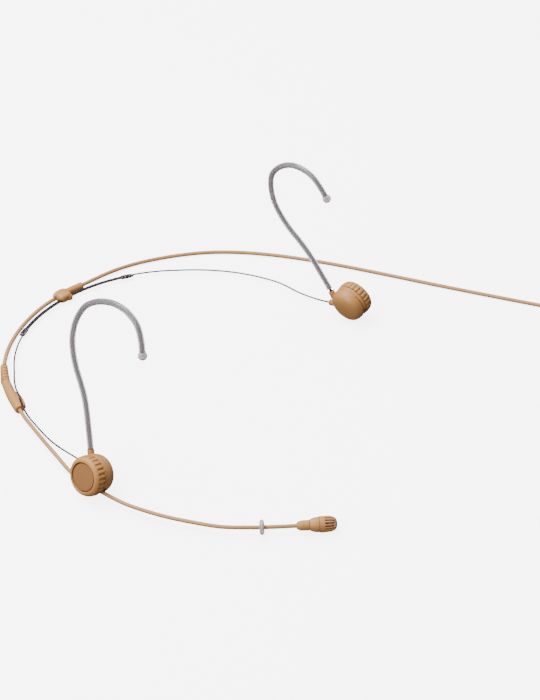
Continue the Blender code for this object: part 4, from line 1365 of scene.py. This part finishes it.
class HeadsetSettings(bpy.types.PropertyGroup):
    """Sizes and colours that a user would change."""

    grip_count: bpy.props.IntProperty(
        name="Grip notches", description="Finger notches round each thumb knob", default=25, min=8, max=60
    )
    grip_depth: bpy.props.FloatProperty(
        name="Notch depth", description="How deep the finger notches are", default=0.5 * MM, **LENGTH
    )
    slot_count: bpy.props.IntProperty(
        name="Cap slots", description="Sound slots round the microphone cap", default=16, min=6, max=32
    )
    slot_width: bpy.props.FloatProperty(
        name="Slot width", description="Width of each sound slot", default=0.66 * MM, **LENGTH
    )
    sleeve_radius: bpy.props.FloatProperty(
        name="Hook tube radius",
        description="Outer radius of the clear ear hook tube, in millimetres",
        default=1.25,
    )
    sleeve_gaps: bpy.props.FloatVectorProperty(
        name="Bare feet",
        description="Bare wire between hook socket and tube on the right and on the left, in millimetres",
        size=2,
        default=(0.3, 1.4),
    )
    ridge_count: bpy.props.IntProperty(
        name="Plug ridges", description="Grip ridges round the plug", default=44, min=8, max=90
    )
    tan: bpy.props.FloatVectorProperty(
        name="Plastic", description="Colour of the moulded plastic", default=linear(192, 137, 79), **COLOUR
    )
    disc: bpy.props.FloatVectorProperty(
        name="Face disc", description="Colour of the knob's face disc", default=linear(162, 112, 66), **COLOUR
    )
    jacket: bpy.props.FloatVectorProperty(
        name="Cable", description="Colour of the cable and boom", default=linear(192, 142, 88), **COLOUR
    )


def make_floor():
    reach = 3000.0
    floor = prism("floor", rectangle(-reach, reach, reach), -20.0, -0.15)
    paper = Finish("paper", Specular_IOR_Level=0.2)
    grain = paper.noise(30.0)
    paper.set("Base Color", paper.mix((0.9, 0.9, 0.9, 1.0), (0.93, 0.93, 0.93, 1.0), grain))
    paper.set("Roughness", 0.8 + grain * 0.1)
    paper.set("Emission Color", (1.0, 1.0, 1.0, 1.0))
    paper.set("Emission Strength", 5.0)
    paper.material.cycles.emission_sampling = "NONE"
    floor.data.materials.append(paper.material)
    floor.visible_diffuse = False
    floor.visible_glossy = False


def make_lights():
    world = bpy.data.worlds.new("studio")
    bpy.context.scene.world = world
    world.use_nodes = True
    world.node_tree.nodes["Background"].inputs["Color"].default_value = (1.0, 0.99, 0.98, 1.0)
    world.node_tree.nodes["Background"].inputs["Strength"].default_value = 0.26
    lamps = (
        ("key_softbox", (-0.5, -0.1, 1.15), 0.8, 28.0),
        ("front_softbox", (0.1, -1.15, 1.0), 0.7, 17.0),
        ("back_strip", (-0.2, 1.2, 0.8), 0.7, 5.0),
    )
    for name, spot, size, power in lamps:
        light = bpy.data.lights.new(name, "AREA")
        light.size = size
        light.energy = power
        lamp = bpy.data.objects.new(name, light)
        bpy.context.scene.collection.objects.link(lamp)
        lamp.location = spot
        lamp.rotation_euler = (-Vector(spot)).to_track_quat("-Z", "Y").to_euler()


def make_camera():
    azimuth = math.radians(CAMERA_AZIMUTH)
    elevation = math.radians(CAMERA_ELEVATION)
    level = math.cos(elevation)
    back = Vector((math.sin(azimuth) * level, -math.cos(azimuth) * level, math.sin(elevation)))
    right = Vector((math.cos(azimuth), math.sin(azimuth), 0.0))
    camera = bpy.data.cameras.new("camera")
    camera.lens = CAMERA_LENS
    camera.sensor_width = 36.0
    camera.clip_start = 0.05
    camera.clip_end = 20.0
    eye = bpy.data.objects.new("camera", camera)
    bpy.context.scene.collection.objects.link(eye)
    place = Matrix((right, back.cross(right), back)).transposed().to_4x4()
    place.translation = (CAMERA_TARGET + back * CAMERA_DISTANCE) * MM
    eye.matrix_world = place
    bpy.context.scene.camera = eye


class HEADSET_OT_finishes(bpy.types.Operator):
    """Makes the material of every slot"""

    bl_idname = "headset.finishes"
    bl_label = "Finishes"

    def execute(self, context):
        make_finishes(context.scene.headset)
        return {"FINISHED"}


class HEADSET_OT_stage(bpy.types.Operator):
    """Makes the floor, the lights, the world and the camera"""

    bl_idname = "headset.stage"
    bl_label = "Stage"

    def execute(self, context):
        make_floor()
        make_lights()
        make_camera()
        return {"FINISHED"}


class HEADSET_OT_cable(bpy.types.Operator):
    """Makes the cable, its coil, the strap and the connector"""

    bl_idname = "headset.cable"
    bl_label = "Cable and connector"

    def execute(self, context):
        make_plug_and_cable(context.scene.headset)
        return {"FINISHED"}


class HEADSET_OT_hubs(bpy.types.Operator):
    """Makes the clamp hubs"""

    bl_idname = "headset.hubs"
    bl_label = "Clamp hubs"

    def execute(self, context):
        for hub in HUBS:
            make_knob(hub, context.scene.headset)
            make_base(hub)
        return {"FINISHED"}


class HEADSET_OT_hooks(bpy.types.Operator):
    """Makes the ear hooks"""

    bl_idname = "headset.hooks"
    bl_label = "Ear hooks"

    def execute(self, context):
        for hub in HUBS:
            make_hook(hub, context.scene.headset)
        return {"FINISHED"}


class HEADSET_OT_band(bpy.types.Operator):
    """Makes the neckband wires and their ferrules"""

    bl_idname = "headset.band"
    bl_label = "Neckband"

    def execute(self, context):
        make_band()
        return {"FINISHED"}


class HEADSET_OT_boom(bpy.types.Operator):
    """Makes the boom, its drip ring and the microphone capsule"""

    bl_idname = "headset.boom"
    bl_label = "Boom and capsule"

    def execute(self, context):
        make_boom()
        make_capsule(context.scene.headset)
        make_ring()
        return {"FINISHED"}


class HEADSET_OT_junction(bpy.types.Operator):
    """Makes the boot, its ribbed relief and the cable clip"""

    bl_idname = "headset.junction"
    bl_label = "Boot and clip"

    def execute(self, context):
        make_junction()
        make_clip()
        return {"FINISHED"}


class HEADSET_OT_inner(bpy.types.Operator):
    """Gives the solids that stay as they are their finishes"""

    bl_idname = "headset.inner"
    bl_label = "Inner pieces"

    def execute(self, context):
        finish_inner_pieces()
        return {"FINISHED"}


OPERATORS = (
    HEADSET_OT_finishes,
    HEADSET_OT_stage,
    HEADSET_OT_cable,
    HEADSET_OT_hubs,
    HEADSET_OT_hooks,
    HEADSET_OT_band,
    HEADSET_OT_boom,
    HEADSET_OT_junction,
    HEADSET_OT_inner,
)


class HEADSET_PT_panel(bpy.types.Panel):
    """Lists the headset's settings and its pieces"""

    bl_idname = "HEADSET_PT_panel"
    bl_label = "Headset microphone"
    bl_space_type = "VIEW_3D"
    bl_region_type = "UI"
    bl_category = "Headset"

    def draw(self, context):
        for name in HeadsetSettings.__annotations__:
            self.layout.prop(context.scene.headset, name)
        for operator in OPERATORS:
            self.layout.operator(operator.bl_idname)


CLASSES = (HeadsetSettings, *OPERATORS, HEADSET_PT_panel)


def register():
    for made in CLASSES:
        bpy.utils.register_class(made)
    bpy.types.Scene.headset = bpy.props.PointerProperty(type=HeadsetSettings)


def unregister():
    del bpy.types.Scene.headset
    for made in reversed(CLASSES):
        bpy.utils.unregister_class(made)


def main():
    register()
    for operator in OPERATORS:
        group, name = operator.bl_idname.split(".")
        getattr(getattr(bpy.ops, group), name)()


if __name__ == "__main__":
    main()
